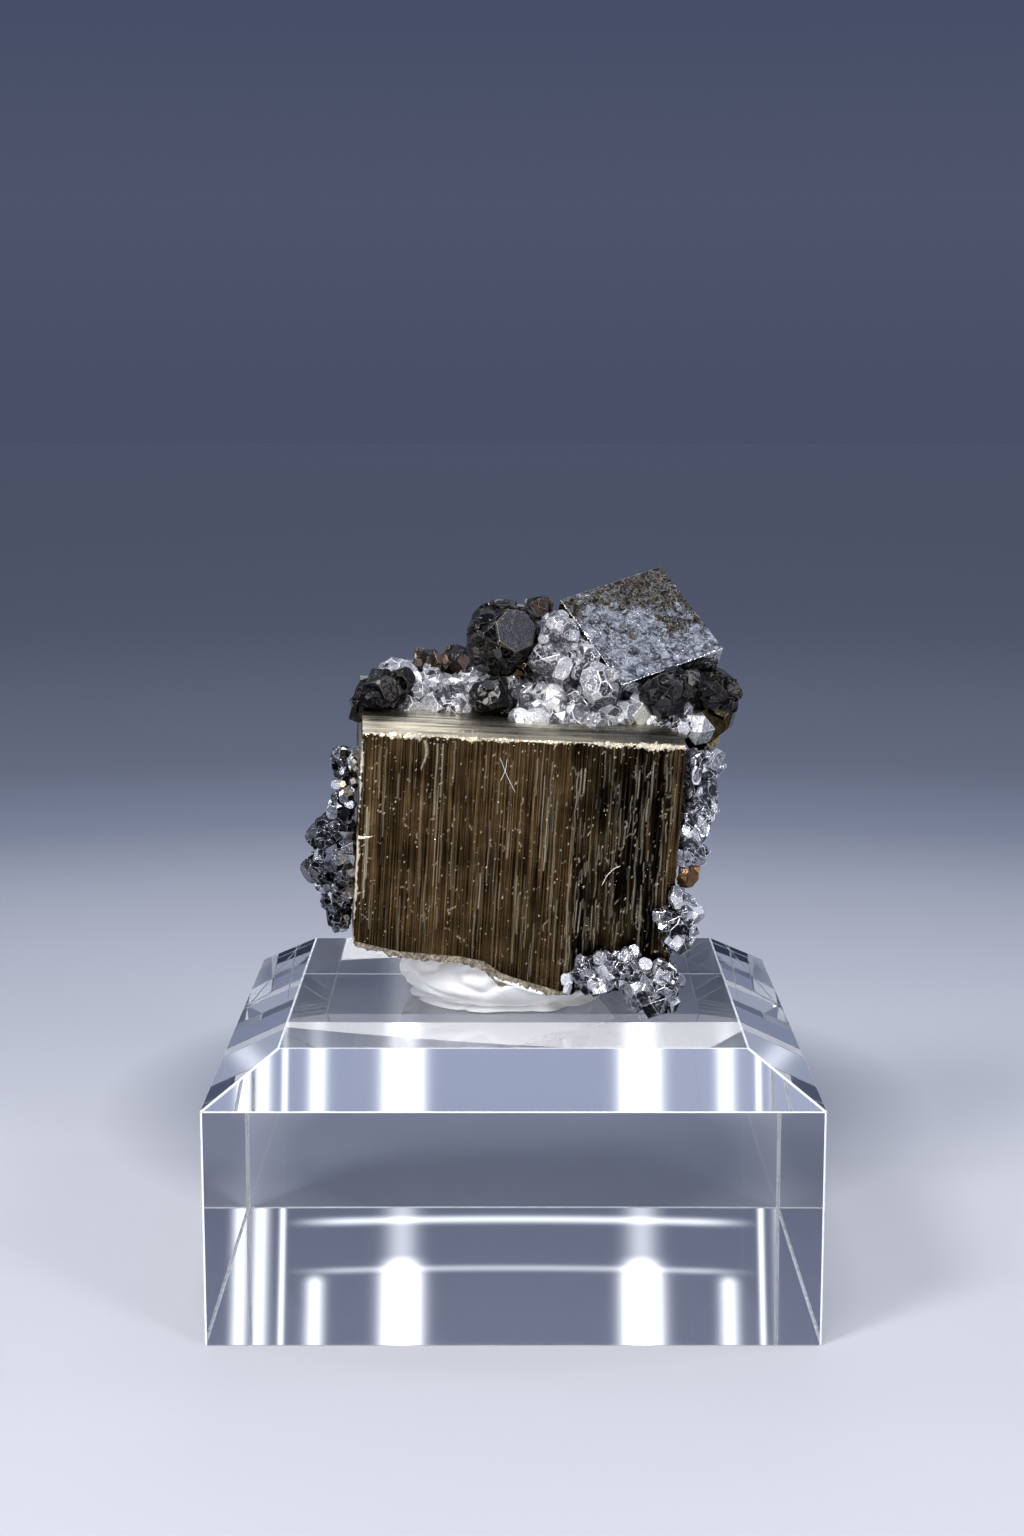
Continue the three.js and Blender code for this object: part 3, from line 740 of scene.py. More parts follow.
def upper_cube():
    """The smaller cube, etched on every face, with a pale rim along its edges."""
    rng = np.random.default_rng(8)
    cells = 120
    corners, quads = box_grid(cells, cells, cells)
    points = (corners / cells - 0.5) * UPPER_SIDE
    pushed = points.copy()
    etch = np.zeros(len(points))
    for axis in range(3):
        others = [a for a in range(3) if a != axis]
        for side, sign in ((0, -1), (cells, 1)):
            on_face = corners[:, axis] == side
            field = etched_field(rng, cells, 420, UPPER_SIDE)
            lift = field[corners[on_face][:, others[0]], corners[on_face][:, others[1]]]
            pushed[on_face, axis] += sign * 0.02 * lift
            etch[on_face] = np.maximum(etch[on_face], lift)
    half = UPPER_SIDE / 2
    from_edge = np.sort(half - np.abs(points), axis=1)[:, 1]
    along = points @ np.array([1.0, 1.31, 0.77])
    # A pale band of uneven width along every edge
    pale_rim = 0.05 + 0.05 * value_noise(rng, along * 2.0, along * 0)
    pale_rim += 0.03 * value_noise(rng, along * 9, along * 0)
    near = np.clip(1 - from_edge / np.maximum(0.02, pale_rim), 0, 1)
    pushed *= (1 - 0.012 * near)[:, None]
    etch = np.maximum(etch, 0.8 * np.clip(1.4 * near, 0, 1))
    turned = pushed @ UPPER_TURN.T + np.array(UPPER_CENTRE)
    make_piece(
        "coated_pyrite_cube", turned, quads, COATED, ["upper_pyrite_cube"],
        values={"etch": etch})


# Crystal habits: one corner of each crystal, which its symmetry repeats
CUBE = (0.8, 1, 1)
CORNERED_CUBE = (0.45, 1, 1)
CUBOCTAHEDRON = (0, 1, 1)
CUT_OCTAHEDRON = (0, 1, 2)
MANY_FACED = (0.45, 1, 1.4)
UNEVENNESS = 0.24
COARSE_BEVEL = 0.032


def crystal_template(habit, rng, bevel):
    """A crystal of unit size: its points, its faces, and which of those are rounded edges."""
    points = {
        tuple(v * sign for v, sign in zip(corner, signs))
        for corner in itertools.permutations(habit)
        for signs in itertools.product((1, -1), repeat=3)
    }
    stretch = rng.uniform(1 - UNEVENNESS, 1 + UNEVENNESS, 3)
    shape = bmesh.new()
    for point in sorted(points):
        shape.verts.new([v / math.hypot(*habit) * s for v, s in zip(point, stretch)])
    return finish_hull(shape, bevel)


def finish_hull(shape, bevel=0.03):
    """Hulls loose points, merges flat faces and rounds the edges a little."""
    bmesh.ops.convex_hull(shape, input=shape.verts)
    loose = [v for v in shape.verts if not v.link_faces]
    bmesh.ops.delete(shape, geom=loose, context="VERTS")
    bmesh.ops.dissolve_limit(shape, angle_limit=0.03, verts=shape.verts, edges=shape.edges)
    made = bmesh.ops.bevel(
        shape, geom=shape.edges[:], offset=bevel, segments=1, affect="EDGES", profile=0.5,
        clamp_overlap=True)
    rounded = set(made["faces"])
    shape.verts.index_update()
    vertices = np.array([v.co[:] for v in shape.verts])
    faces = [[v.index for v in f.verts] for f in shape.faces]
    is_edge = np.array([f in rounded for f in shape.faces], float)
    shape.free()
    return vertices, faces, is_edge


def random_turn(rng):
    q = rng.normal(size=4)
    q /= np.linalg.norm(q)
    w, x, y, z = q
    return np.array([
        [1 - 2 * (y * y + z * z), 2 * (x * y - z * w), 2 * (x * z + y * w)],
        [2 * (x * y + z * w), 1 - 2 * (x * x + z * z), 2 * (y * z - x * w)],
        [2 * (x * z - y * w), 2 * (y * z + x * w), 1 - 2 * (x * x + y * y)],
    ])


def turn_towards(normal, rng):
    """A turn that takes z to the normal, with a random spin."""
    normal = np.array(normal) / np.linalg.norm(normal)
    across = np.cross(normal, rng.normal(size=3))
    across /= np.linalg.norm(across)
    return np.stack([across, np.cross(normal, across), normal], 1)


class Druse:
    """Crystals gathered into one mesh, in the specimen's frame, in millimetres."""

    def __init__(self, seed, habits, bevel=0.03):
        self.rng = np.random.default_rng(seed)
        self.templates = [
            crystal_template(habit, self.rng, bevel) for habit in habits for _ in range(4)]
        self.vertices, self.faces, self.tones, self.edges, self.count = [], [], [], [], 0

    def add(self, vertices, faces, tones, edges):
        self.faces += [[v + self.count for v in f] for f in faces]
        self.vertices.append(vertices)
        self.tones.append(tones)
        self.edges.append(edges)
        self.count += len(vertices)

    def crystal(self, centre, radius, turn=None, stretch=(1, 1, 1), lift=0.0):
        vertices, faces, edges = self.templates[self.rng.integers(len(self.templates))]
        turn = random_turn(self.rng) if turn is None else turn
        placed = (vertices * np.array(stretch)) @ turn.T * radius + np.array(centre)
        tones = np.clip(self.rng.random(len(faces)) * 0.8 + self.rng.random() * 0.3 + lift, 0, 1)
        self.add(placed, faces, tones, edges)

    def core(self, node, tone):
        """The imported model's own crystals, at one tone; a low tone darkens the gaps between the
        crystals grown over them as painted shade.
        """
        points, triangles = node_mesh(node)
        count = len(triangles)
        self.add(points, triangles.tolist(), np.full(count, tone), np.zeros(count))

    def surface(self, node, count):
        """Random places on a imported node, with their outward directions."""
        points, triangles = node_mesh(node)
        a, b, c = (points[triangles[:, n]] for n in range(3))
        cross = np.cross(b - a, c - a)
        areas = np.linalg.norm(cross, axis=1)
        for t in self.rng.choice(len(triangles), count, p=areas / areas.sum()):
            u, v = self.rng.random(2)
            if u + v > 1:
                u, v = 1 - u, 1 - v
            yield a[t] + u * (b[t] - a[t]) + v * (c[t] - a[t]), cross[t] / areas[t]

    def cover(
            self, node, count, sizes, sink=0.35, keep=None, stretch=(1, 1, 1), lift=0.0, lying=False):
        """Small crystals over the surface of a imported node."""
        for place, normal in self.surface(node, count):
            radius = self.rng.uniform(*sizes) * self.rng.choice([0.7, 1.0, 1.0, 1.3])
            if keep is None or keep(place, normal):
                turn = None
                if lying:
                    turn = turn_towards(normal + self.rng.normal(0, 0.25, 3), self.rng)
                self.crystal(place - normal * radius * sink, radius, turn, stretch, lift)

    def finish(self, name, material, nodes=()):
        make_piece(
            name, np.concatenate(self.vertices), self.faces, material, nodes,
            values={"tone": np.concatenate(self.tones), "edge": np.concatenate(self.edges)})


def node_mesh(node):
    """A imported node's points in the specimen's frame, in millimetres, and its triangles."""
    mesh = frame["nodes"][node].data
    points = np.array([v.co for v in mesh.vertices])
    inverse = np.array(SPECIMEN.inverted())
    local = (points @ inverse[:3, :3].T + inverse[:3, 3]) / MM
    mesh.calc_loop_triangles()
    joined, same = np.unique(np.round(local, 4), axis=0, return_inverse=True)
    triangles = same.ravel()[np.array([t.vertices for t in mesh.loop_triangles])]
    a, b, c = triangles.T
    return joined, triangles[(a != b) & (b != c) & (c != a)]


def druse_piece(name, node, seed, material, slot, count, sizes, core_tone=0.1, **options):
    """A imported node's own crystals with a count of smaller ones grown over them."""
    druse = Druse(seed, (CORNERED_CUBE, CUT_OCTAHEDRON, CUBOCTAHEDRON, CUBE), COARSE_BEVEL)
    # The core's low default tone paints shade in the recesses between the crystals grown over it
    druse.core(node, core_tone)
    druse.cover(node, count, sizes, **options)
    druse.finish(name, material, [node])


def top_crust():
    """The pale druse over the cube's top, larger crystals with small ones between them."""
    node = "top_galena_crust"
    druse = Druse(31, (CORNERED_CUBE, CUT_OCTAHEDRON, MANY_FACED, CUBOCTAHEDRON), COARSE_BEVEL)
    # A darker core paints shade between the crust's crystals
    druse.core(node, 0.3)
    clearings = ((np.array((-1.55, 4.0, 1.35)), 1.55), (np.array(BALL_CENTRE), 2.3))
    shoulder = 1.7

    def open_to_view(place, normal):
        clear = all(np.linalg.norm(place - at) > reach for at, reach in clearings)
        return clear and normal[2] > -0.35

    def low(place, normal):
        return place[2] < shoulder and open_to_view(place, normal)

    def high(place, normal):
        return place[2] >= shoulder and open_to_view(place, normal)

    for keep, lift in ((low, 0.0), (high, -0.22)):
        druse.cover(node, 230, (0.55, 0.95), sink=0.55, keep=keep, lift=lift)
        druse.cover(node, 330, (0.22, 0.5), sink=0.2, keep=keep, lift=lift)
    # Crystals over the seam between the crust and the cube's bare front strip
    for x in np.cumsum(druse.rng.uniform(0.2, 0.75, 33)) - 6.8:
        y = np.interp(x, [-6.6, -2.6, -1.0, 4.4, 6.4, 8.6], [5.6, 5.2, 3.4, 3.5, 5.2, 3.0])
        if not -2.9 < x < -0.4:
            z = LIP_RISE + druse.rng.uniform(-0.05, 0.25)
            druse.crystal((x, y + druse.rng.normal(0, 0.3), z), druse.rng.uniform(0.3, 1.0))
    druse.finish("galena_crust", CRUST, [node])


def by_facet(angle, radius, height):
    """A place round the ball's smooth facet, in ball radii from the ball's centre."""
    turn = turn_towards(BALL_FACET_NORMAL, np.random.default_rng(2))
    return turn @ np.array([math.cos(angle) * radius, math.sin(angle) * radius, height])


def add_facet(shape, rng, unevenness, *rings):
    """Adds the corners of the ball's smooth facet, for rings of a radius and a height."""
    for n in range(FACET_SIDES):
        angle = 2 * math.pi * (n + unevenness * rng.random()) / FACET_SIDES
        for radius, height in rings:
            at = by_facet(angle, radius, height)
            shape.verts.new(Vector(at) * BALL_RADIUS + Vector(BALL_CENTRE))


def dark_ball():
    """A ball of large dark plates round one smooth facet."""
    druse = Druse(33, (MANY_FACED, CUBOCTAHEDRON, CUT_OCTAHEDRON))
    rng = druse.rng
    shape = bmesh.new()
    count = 46
    for n in range(count):
        z = 1 - 2 * (n + 0.5) / count
        around = n * math.pi * (3 - math.sqrt(5)) + rng.normal(0, 0.12)
        ring = math.sqrt(1 - z * z)
        point = Vector((ring * math.cos(around), ring * math.sin(around), z))
        if point.dot(BALL_FACET_NORMAL) < 0.78:
            shape.verts.new(point * BALL_RADIUS * 0.97 + Vector(BALL_CENTRE))
    add_facet(shape, rng, 0.3, (0.60, 0.83))
    vertices, faces, edges = finish_hull(shape)
    druse.add(vertices, faces, rng.random(len(faces)) * 0.9, edges)
    centre, normal = np.array(BALL_CENTRE), np.array(BALL_FACET_NORMAL)
    for _ in range(130):
        direction = rng.normal(size=3)
        direction /= np.linalg.norm(direction)
        if direction @ normal < 0.55:
            radius = rng.uniform(0.4, 0.8)
            turn = turn_towards(direction + rng.normal(0, 0.2, 3), rng)
            at = centre + direction * (BALL_RADIUS - 0.34 * radius)
            druse.crystal(at, radius, turn, (1, 1, 0.42))
    druse.finish("dark_ball", BLACK, ["dark_ball_crystal"])


def ball_facet():
    """The ball's smooth facet, a low seven-sided plate."""
    rng = np.random.default_rng(77)
    shape = bmesh.new()
    add_facet(shape, rng, 0.25, (0.63, 0.78), (0.59, 0.87))
    vertices, faces, edges = finish_hull(shape)
    make_piece(
        "ball_facet", vertices, faces, FACET,
        values={"tone": np.full(len(faces), 0.5), "edge": edges})


def putty_lump():
    """A pressed lump of putty, folded at its left end, under the cube."""
    low, high = (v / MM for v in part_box("mounting_putty"))
    rings, sectors, height = 60, 140, 4.2
    middle = (np.array(low) + np.array(high)) / 2
    half = (np.array(high) - np.array(low)) / 2
    inverse = SPECIMEN.inverted()
    points = []
    for r in range(rings + 1):
        rise = r / rings
        bulge = (1 - abs(2 * rise - 0.9) ** 2.6 / 1.3) if rise < 0.98 else 0.0
        if r < 2:
            bulge = 0.81 * r
        for s in range(sectors):
            around = 2 * math.pi * s / sectors
            cos, sin = math.cos(around), math.sin(around)
            fold = noise.noise(Vector((1.3 * cos, 1.3 * sin, 2.1 * rise)))
            crease = abs(noise.noise(Vector((2.6 * cos, 2.6 * sin, 3.7 * rise + 5))))
            wide = max(0.0, bulge) ** 0.5 * (1 + 0.05 * fold - 0.07 * max(0, 0.2 - crease) / 0.2)
            x = middle[0] + half[0] * wide * cos
            y = middle[1] + half[1] * wide * sin
            z = BLOCK_TOP + rise * height
            local = inverse @ (Vector((x, y, z)) * MM) / MM
            if -CUBE_HALF_WIDTH < local.x < CUBE_HALF_WIDTH:
                local.z = min(local.z, broken_edge(local.x) - (0.1 if local.y > 0 else 0.3))
                z = max(BLOCK_TOP, (SPECIMEN @ (local * MM)).z / MM)
            points.append((x, y, z))
    piece = make_piece(
        "putty_lump", points, tube_faces(rings, sectors), PUTTY, ["mounting_putty"],
        in_specimen=False)
    tidy_faces(piece)
    for polygon in piece.data.polygons:
        polygon.use_smooth = True


def matrix_edge():
    """The broken beige layer along the cube's lower edge."""
    rng = np.random.default_rng(15)
    nx, ny, nz = 190, 60, 8
    corners, quads = box_grid(nx, ny, nz)
    i, j, k = corners.T
    xs = np.linspace(-CUBE_HALF_WIDTH + 0.1, 3.2, nx + 1)
    ys = np.concatenate([np.linspace(0.02, 1.5, 21), np.linspace(1.5, 11.5, ny - 19)[1:]])
    x, y, t = xs[i], ys[j], 1 - k / nz
    lumps = np.exp(-((x + 0.55) / 0.9) ** 2) * 0.4 - np.exp(-((x + 7.6) / 1.3) ** 2) * 0.12
    rough = np.array([noise.noise(Vector((2.6 * a, 1.4 * b, 3.0))) for a, b in zip(x, y)])
    fine = np.array([
        noise.noise(Vector((8.0 * a, 5.0 * b, 1.0 + 2 * c))) for a, b, c in zip(x, y, t)])
    thickness = 0.25 + lumps + 0.20 * rough + 0.08 * fine
    taper = np.clip((3.2 - x) / 1.2, 0.12, 1)
    z = broken_edge(x) + 0.12 - t * np.maximum(0.1, thickness * taper + 0.12)
    y = y + np.where(j == 0, 0.10 * fine - 0.06 * t - 0.06, 0)
    make_piece("matrix_edge", np.stack([x, y, z], 1), quads, MATRIX, ["matrix_crust"])


def glint_flakes():
    """Bright lumps along the front top edge, the left edge and the ball's facet, standing in for
    glints: painted highlights.
    """
    druse = Druse(71, (CUT_OCTAHEDRON, CUBE))
    rng = druse.rng
    for centre, spread, count, size in (
        (-8.3, 0.3, 8, 0.09), (-7.0, 0.35, 14, 0.15), (-5.95, 0.25, 16, 0.19), (-5.0, 0.8, 5, 0.07),
        (-3.0, 0.5, 8, 0.10), (-1.35, 0.5, 16, 0.12), (1.2, 1.2, 8, 0.06), (4.5, 0.4, 22, 0.14),
        (6.9, 0.5, 28, 0.17), (8.2, 0.3, 8, 0.12),
    ):
        for _ in range(count):
            u = np.clip(rng.normal(centre, spread), -8.7, 8.7)
            at = (u, rng.uniform(-0.04, 0.10), -rng.uniform(0.0, 0.13))
            druse.crystal(at, size * rng.uniform(0.5, 1.2), None, (1.5, 0.7, 0.8), 0.5)
    for _ in range(26):
        x = -CUBE_HALF_WIDTH + rng.uniform(0, 0.08)
        at = (x, rng.uniform(-0.02, 0.06), -rng.gamma(1.2, 2.0))
        druse.crystal(at, rng.uniform(0.03, 0.09), None, (0.7, 0.7, 1.3), 0.5)
    for shift in np.linspace(0, 1, 7):
        at = (-8.6 + 0.75 * shift, -0.03, -5.75 + 0.12 * shift * shift)
        druse.crystal(at, 0.13 * (1.15 - shift), np.eye(3), (1.6, 0.5, 0.7), 0.5)
    for angle in np.linspace(0, 2 * math.pi, 60):
        away = by_facet(angle, 0.61, 0.835)
        if away @ np.array((-0.7, -0.1, -0.75)) > 0.30:
            at = np.array(BALL_CENTRE) + away * BALL_RADIUS
            druse.crystal(at, rng.uniform(0.03, 0.08), lift=0.5)
    make_piece("glint_flakes", np.concatenate(druse.vertices), druse.faces, SPARK)


def ball_pyrite():
    """Brown-gold crystals low on the dark ball and between it and the crust."""
    druse = Druse(72, (CORNERED_CUBE, CUBE))
    for shift, radius in (
        ((1.18, -1.35, -1.40), 0.42), ((1.35, -1.1, -1.65), 0.36), ((0.85, -1.5, -1.75), 0.30),
        ((-0.3, -1.9, -1.9), 0.28), ((0.1, -2.0, -2.1), 0.26), ((1.6, -1.2, -1.2), 0.25),
    ):
        druse.crystal(np.array(BALL_CENTRE) + shift, radius)
    druse.finish("gold_at_ball", SIDE_GOLD)


def front_place(rng):
    """A random point on the cube's front."""
    x = rng.uniform(-8.6, 8.6)
    z = rng.uniform(-11.6, -0.1) if x < -3 else rng.uniform(-13.2, -0.1)
    return (x, 0.02 * rng.random() - 0.02 + 0.035 * max(0, x - 3), z)


def edge_place(rng):
    """A random point along the cube's front top edge."""
    return (rng.uniform(-8.7, 8.7), rng.uniform(0.0, 0.2), -rng.uniform(0.0, 0.22))


def scatter_specks(name, seed, count, place, size, material):
    """Tiny bright specks on a surface, standing in for glints as painted highlights; place gives a
    random point on it.
    """
    rng = np.random.default_rng(seed)
    corner = np.array([(1, 0, 0), (-1, 0, 0), (0, 1, 0), (0, -1, 0), (0, 0, 1), (0, 0, -1)], float)
    sides = [(0, 2, 4), (2, 1, 4), (1, 3, 4), (3, 0, 4), (2, 0, 5), (1, 2, 5), (3, 1, 5), (0, 3, 5)]
    vertices, faces = [], []
    for n in range(count):
        scale = rng.uniform(*size, 3) * (1.8 if rng.random() < 0.08 else 1)
        vertices.append((corner * scale) @ random_turn(rng).T + np.array(place(rng)))
        faces += [[v + 6 * n for v in f] for f in sides]
    make_piece(name, np.concatenate(vertices), faces, material)


def thread(path, radius, sides=6):
    """A thin closed tube along points."""
    path = np.array(path, float)
    vertices = []
    for n, point in enumerate(path):
        ahead = path[min(n + 1, len(path) - 1)] - path[max(n - 1, 0)]
        ahead /= np.linalg.norm(ahead)
        across = np.cross(ahead, (0, 1, 0))
        across /= np.linalg.norm(across)
        up = np.cross(ahead, across)
        thin = radius * (0.35 if n in (0, len(path) - 1) else 1)
        for s in range(sides):
            angle = 2 * math.pi * s / sides
            vertices.append(point + thin * (math.cos(angle) * across + math.sin(angle) * up))
    ends = [list(range(sides))[::-1], list(range(len(vertices) - sides, len(vertices)))]
    return np.array(vertices), tube_faces(len(path) - 1, sides) + ends


def fibres():
    """Fine hairs on the cube's front, each a thickness and points of x and z."""
    vertices, faces, count = [], [], 0
    for radius, line in (
        (0.013, [(-1.35, -1.0), (-0.95, -1.9), (-0.4, -2.9)]),
        (0.013, [(-0.95, -1.05), (-1.0, -1.7), (-1.25, -2.3)]),
        (0.020, [(5.6, -6.75), (5.2, -6.95), (4.9, -7.3), (4.65, -7.9)]),
    ):
        steps = np.linspace(0, len(line) - 1, 14)
        xs, zs = (np.interp(steps, range(len(line)), values) for values in zip(*line))
        path = [(x, -0.06 + 0.03 * math.sin(3 * s), z) for x, z, s in zip(xs, zs, steps)]
        new, sides = thread(path, radius)
        faces += [[v + count for v in f] for f in sides]
        vertices.append(new)
        count += len(new)
    make_piece("surface_fibres", np.concatenate(vertices), faces, DUST)


# The object

main_cube()
upper_cube()
top_crust()
dark_ball()
ball_facet()
druse_piece(
    "galena_mass_left", "left_galena_mass", 41, DARK_GALENA, "galena", 230, (0.28, 0.6), lift=-0.1)
druse_piece("galena_row_left", "left_upper_galena", 42, DARK_GALENA, "galena", 60, (0.22, 0.45))
druse_piece("dark_corner", "corner_dark_crystals", 43, BLACK, "dark_crystal", 46, (0.35, 0.7))
druse_piece("dark_in_crust", "embedded_dark_crystal", 84, BLACK, "dark_crystal", 24, (0.25, 0.5))
druse_piece(
    "dark_under_cube", "under_cube_dark_crystals", 45, BLACK, "dark_crystal", 60, (0.35, 0.7))
druse_piece("brown_left", "brown_crystal_left", 46, BROWN, "brown_crystal", 14, (0.25, 0.45))
druse_piece("brown_right", "brown_crystal_right", 47, BROWN, "brown_crystal", 14, (0.25, 0.45))
druse_piece("brown_back", "brown_crystal_back", 48, BROWN, "brown_crystal", 10, (0.2, 0.4))
druse_piece(
    "brown_side", "right_brown_crystal", 49, ORANGE, "brown_crystal", 6, (0.2, 0.35), core_tone=0.6)
druse_piece(
    "gold_crystal", "side_pyrite_crystal", 50, SIDE_GOLD, "pyrite", 8, (0.4, 0.8), core_tone=0.5)
druse_piece(
    "galena_slab", "right_galena_slab", 51, GALENA, "galena", 110, (0.35, 0.8), core_tone=0.5,
    lying=True, stretch=(1, 1, 0.4), lift=0.18)
druse_piece("galena_lower_right", "lower_right_galena", 52, GALENA, "galena", 84, (0.32, 0.66))
druse_piece("galena_knob_left", "galena_ball_left", 53, GALENA, "galena", 52, (0.28, 0.56))
druse_piece("galena_knob_middle", "galena_ball_middle", 54, GALENA, "galena", 40, (0.26, 0.5))
druse_piece("galena_knob_right", "galena_ball_right", 55, GALENA, "galena", 74, (0.32, 0.7))
druse_piece(
    "pale_crystals", "white_crystals", 56, PALE, "pale_crystal", 8, (0.12, 0.22), core_tone=0.6)
druse_piece("galena_back", "back_galena_patch", 57, GALENA, "galena", 150, (0.3, 0.65))
druse_piece("galena_back_low", "back_lower_galena", 58, GALENA, "galena", 110, (0.3, 0.6))
putty_lump()
matrix_edge()
glint_flakes()
ball_pyrite()
# Specks painted as glints over the front and along the top edge
scatter_specks("glint_specks_front", 61, 300, front_place, (0.012, 0.035), SPARK)
scatter_specks("glint_specks_edge", 62, 130, edge_place, (0.02, 0.09), SPARK)
fibres()

# The imported block keeps its shape, with rounded edges of their own pale material, which paints
# highlight lines along them
block = frame["nodes"]["acrylic_block"]
block.data.materials.clear()
block.data.materials.append(ACRYLIC)
block.data.materials.append(BLOCK_EDGE_HIGHLIGHT)
weld = block.modifiers.new("joined_corners", "WELD")
weld.merge_threshold = 1e-6
bevel = block.modifiers.new("rounded_edges", "BEVEL")
bevel.width = 0.10 * MM
bevel.segments = 2
bevel.material = 1


# Floor, light and camera

def floor():
    """A wide grey table top, with a painted pool of light, pale in front of the block and darker with
    distance, and a painted shadow behind the block.
    """
    size = 1.6
    just_below = -0.00002
    mesh = bpy.data.meshes.new("floor")
    corners = [(-size, -size, 0), (size, -size, 0), (size, size, 0), (-size, size, 0)]
    mesh.from_pydata(corners, [], [(0, 1, 2, 3)])
    n = surface("floor")
    place = n.coordinates()
    # Painted pool of light: pale round the front of the block, fading towards the far floor
    from_front = n.vector("DISTANCE", place, (0, -50, 0), "Value")
    colour = n.ramp(n.times(from_front, 1 / 1400), [
        (0.049, (0.58, 0.59, 0.63)), (0.074, (0.50, 0.515, 0.57)), (0.106, (0.37, 0.39, 0.45)),
        (0.129, (0.225, 0.25, 0.315)), (0.16, (0.155, 0.175, 0.23)), (0.27, (0.146, 0.163, 0.211)),
        (0.36, (0.172, 0.188, 0.232)), (0.90, (0.185, 0.203, 0.259)),
    ])
    # Painted shadow: a dark patch behind and under the block
    from_back = n.vector("DISTANCE", n.coordinates((0.8, 0.8, 1)), (0, 22, 0), "Value")
    shade = n.ramp(n.times(from_back, 1 / 40), [(0.28, (0.27, 0.29, 0.36)), (0.58, (1, 1, 1))])
    colour = n.mix(1.0, colour, shade, "MULTIPLY")
    grain = n.noise(place, 1.2, 4.0, 0.6)
    mesh.materials.append(n.set(
        Base_Color=colour, Roughness=0.8, Specular_IOR_Level=0.15,
        Normal=n.bump(grain, 0.15, 0.05)))
    plane = bpy.data.objects.new("floor", mesh)
    plane.location.z = just_below
    bpy.context.scene.collection.objects.link(plane)


def softbox(name, place, size, radiance, colour=(1, 1, 1)):
    """A rectangular light of a given brightness, aimed at the specimen and never seen itself."""
    aim = Vector((0, 0, 0.025))
    data = bpy.data.lights.new(name, "AREA")
    data.shape = "RECTANGLE"
    data.size, data.size_y = size
    data.energy = radiance * math.pi * size[0] * size[1]
    data.color = colour
    light = bpy.data.objects.new(name, data)
    bpy.context.scene.collection.objects.link(light)
    light.location = place
    light.rotation_euler = (aim - Vector(place)).to_track_quat("-Z", "Y").to_euler()
    light.visible_camera = False


def lights():
    softbox("key", (-0.15, -0.17, 0.22), (0.07, 0.08), 26, (1, 0.98, 0.95))
    softbox("fill", (0.17, -0.2, 0.16), (0.06, 0.07), 16)
    softbox("top", (-0.02, -0.15, 0.27), (0.09, 0.06), 14, (1, 0.97, 0.92))
    softbox("low", (-0.05, -0.30, 0.06), (0.22, 0.06), 6)
    softbox("over", (0.085, 0.01, 0.29), (0.12, 0.12), 0.75, (0.94, 0.97, 1))
    softbox("back", (0.02, 0.25, 0.225), (0.20, 0.05), 2.6, (1, 0.98, 0.94))
    softbox("side_left", (-0.26, 0.05, 0.07), (0.04, 0.10), 10)
    softbox("side_right", (0.26, 0.03, 0.08), (0.04, 0.10), 10)


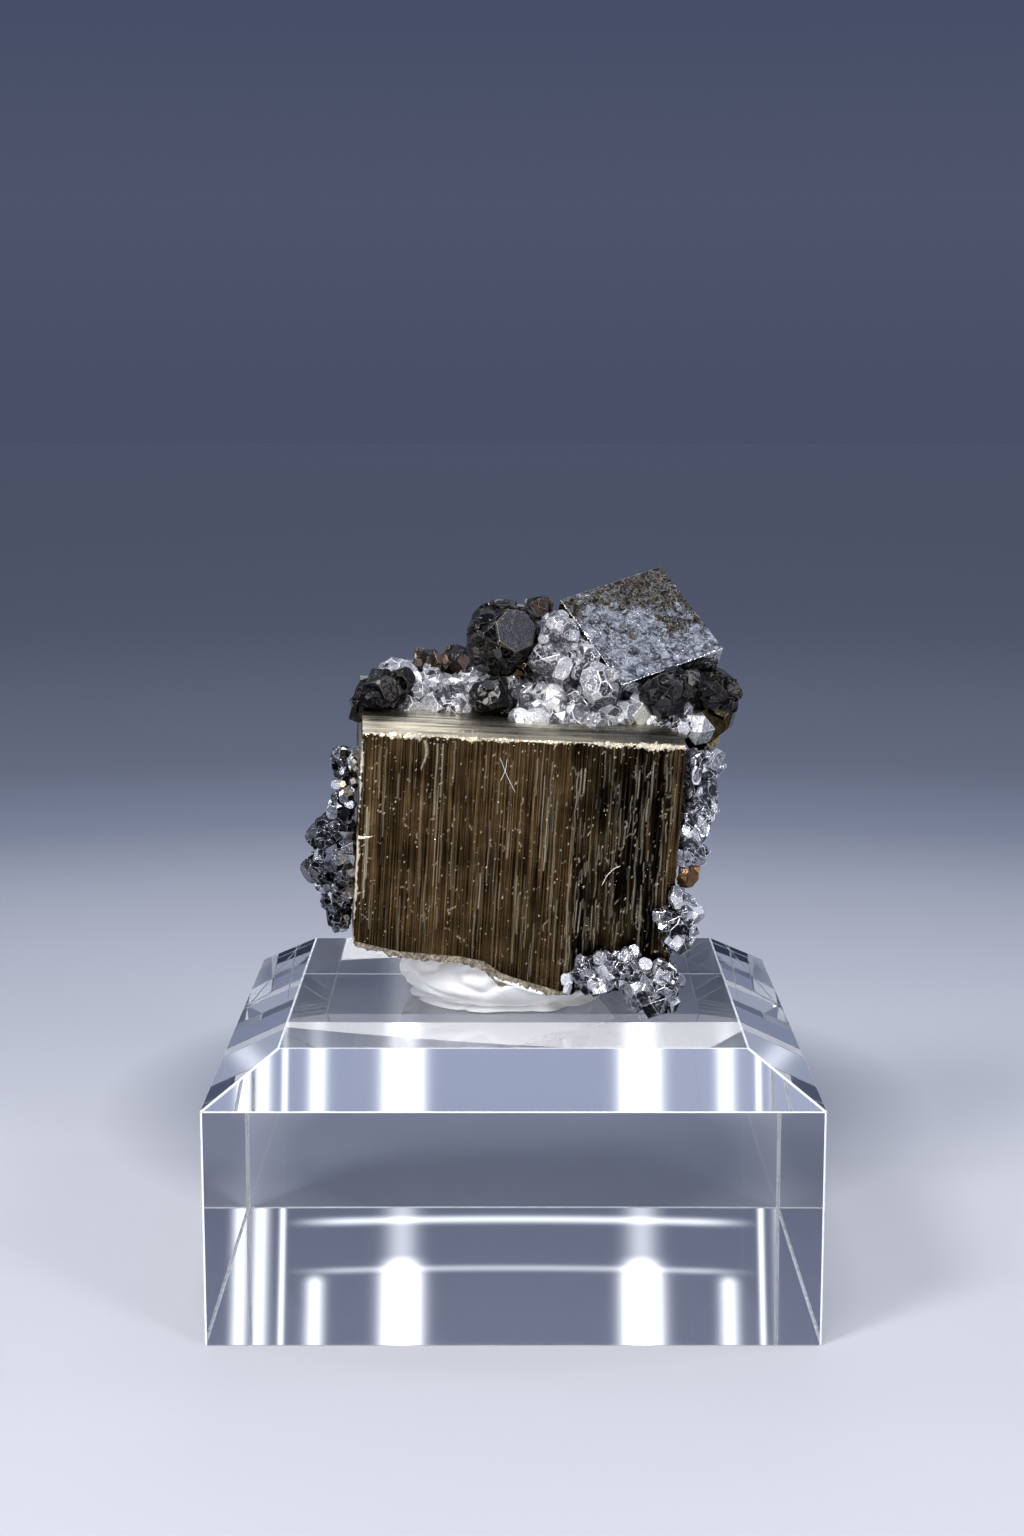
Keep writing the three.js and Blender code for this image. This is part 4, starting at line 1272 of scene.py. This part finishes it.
def world():
    """A dim slate room with pale lamps behind the block.

    The lamps are two upright columns, slits beside them, two thin shelf lines, and a glow to each
    side and behind each shoulder, which the block's side bevels reflect.
    """
    room = bpy.data.worlds.new("studio")
    bpy.context.scene.world = room
    n = Nodes(room, "Background")

    def bell(value, centre, spread):
        off = n.math("DIVIDE", n.math("SUBTRACT", value, centre), spread)
        return n.math("POWER", math.e, n.times(n.times(off, off), -1.0))

    def rise(value, start, end):
        node = n.add("MapRange", interpolation_type="SMOOTHSTEP")
        for name, number in (("Value", value), ("From Min", start), ("From Max", end)):
            n.put(number, node.inputs[name])
        return node.outputs["Result"]

    def fall(value, start, end):
        return n.math("SUBTRACT", 1.0, rise(value, start, end))

    x, y, z = n.axes(n.add("TexCoord").outputs["Generated"])
    beside = n.math("ABSOLUTE", x)
    across = n.math("ABSOLUTE", n.math("SUBTRACT", x, 0.004))
    above_floor = rise(z, 0.19, 0.24)
    columns = n.times(bell(across, 0.0495, 0.0062), n.times(above_floor, fall(z, 0.82, 0.9)))
    columns = n.times(columns, n.plus(0.6, n.times(rise(z, 0.358, 0.368), 4.4)))
    slits = n.plus(bell(across, 0.0985, 0.0012), bell(across, 0.1075, 0.0030))
    slits = n.plus(slits, n.times(bell(across, 0.085, 0.0035), rise(z, 0.364, 0.369)))
    slits = n.times(slits, above_floor)
    shelves = n.plus(bell(z, 0.3455, 0.0013), n.times(bell(z, 0.364, 0.0011), 0.5))
    shelves = n.times(shelves, fall(across, 0.07, 0.10))
    shoulders = n.times(bell(beside, 0.41, 0.05), bell(z, 0.625, 0.05))
    shoulders = n.times(shoulders, n.plus(0.22, n.times(bell(z, 0.629, 0.0035), 0.8)))
    sides = n.times(rise(beside, 0.45, 0.8), rise(z, 0.10, 0.35))
    behind = n.plus(n.plus(columns, n.plus(n.times(slits, 1.3), shelves)), shoulders)
    glow = n.plus(n.times(behind, rise(y, 0.1, 0.3)), n.times(sides, 0.28))

    n.set(Strength=1.0, Color=n.ramp(z, [
        (0.0, (0.066, 0.080, 0.132)), (0.07, (0.076, 0.090, 0.145)), (0.16, (0.058, 0.074, 0.134)),
        (0.33, (0.10, 0.118, 0.185)), (0.70, (0.34, 0.39, 0.55)), (0.85, (0.30, 0.34, 0.48)),
        (1.0, (0.13, 0.145, 0.18)),
    ]))
    lamps = n.add("Background")
    n.put((0.93, 0.96, 1, 1), lamps.inputs["Color"])
    n.put(glow, lamps.inputs["Strength"])
    both = n.add("AddShader")
    n.put(n.shader.outputs[0], both.inputs[0])
    n.put(lamps.outputs[0], both.inputs[1])
    n.put(both.outputs[0], n.tree.nodes["World Output"].inputs["Surface"])


def camera():
    """The photograph's view: a long lens, a little above the specimen, looking slightly down."""
    focal_pixels, long_side, tilt = 2371.5, 1536, 0.164773
    data = bpy.data.cameras.new("camera")
    data.sensor_width = 36
    data.lens = focal_pixels / long_side * data.sensor_width
    view = bpy.data.objects.new("camera", data)
    view.location = (-0.00007, -0.13238, 0.04973)
    view.rotation_euler = (math.pi / 2 - tilt, 0, 0)
    data.clip_start = 0.01
    bpy.context.scene.collection.objects.link(view)
    bpy.context.scene.camera = view


def render_settings():
    scene = bpy.context.scene
    scene.cycles.max_bounces = 20
    scene.cycles.transmission_bounces = 14
    scene.cycles.glossy_bounces = 14
    scene.cycles.caustics_refractive = True
    scene.cycles.sample_clamp_indirect = 4.0
    scene.view_settings.view_transform = "Standard"
    scene.view_settings.look = "None"


floor()
lights()
world()
camera()
render_settings()
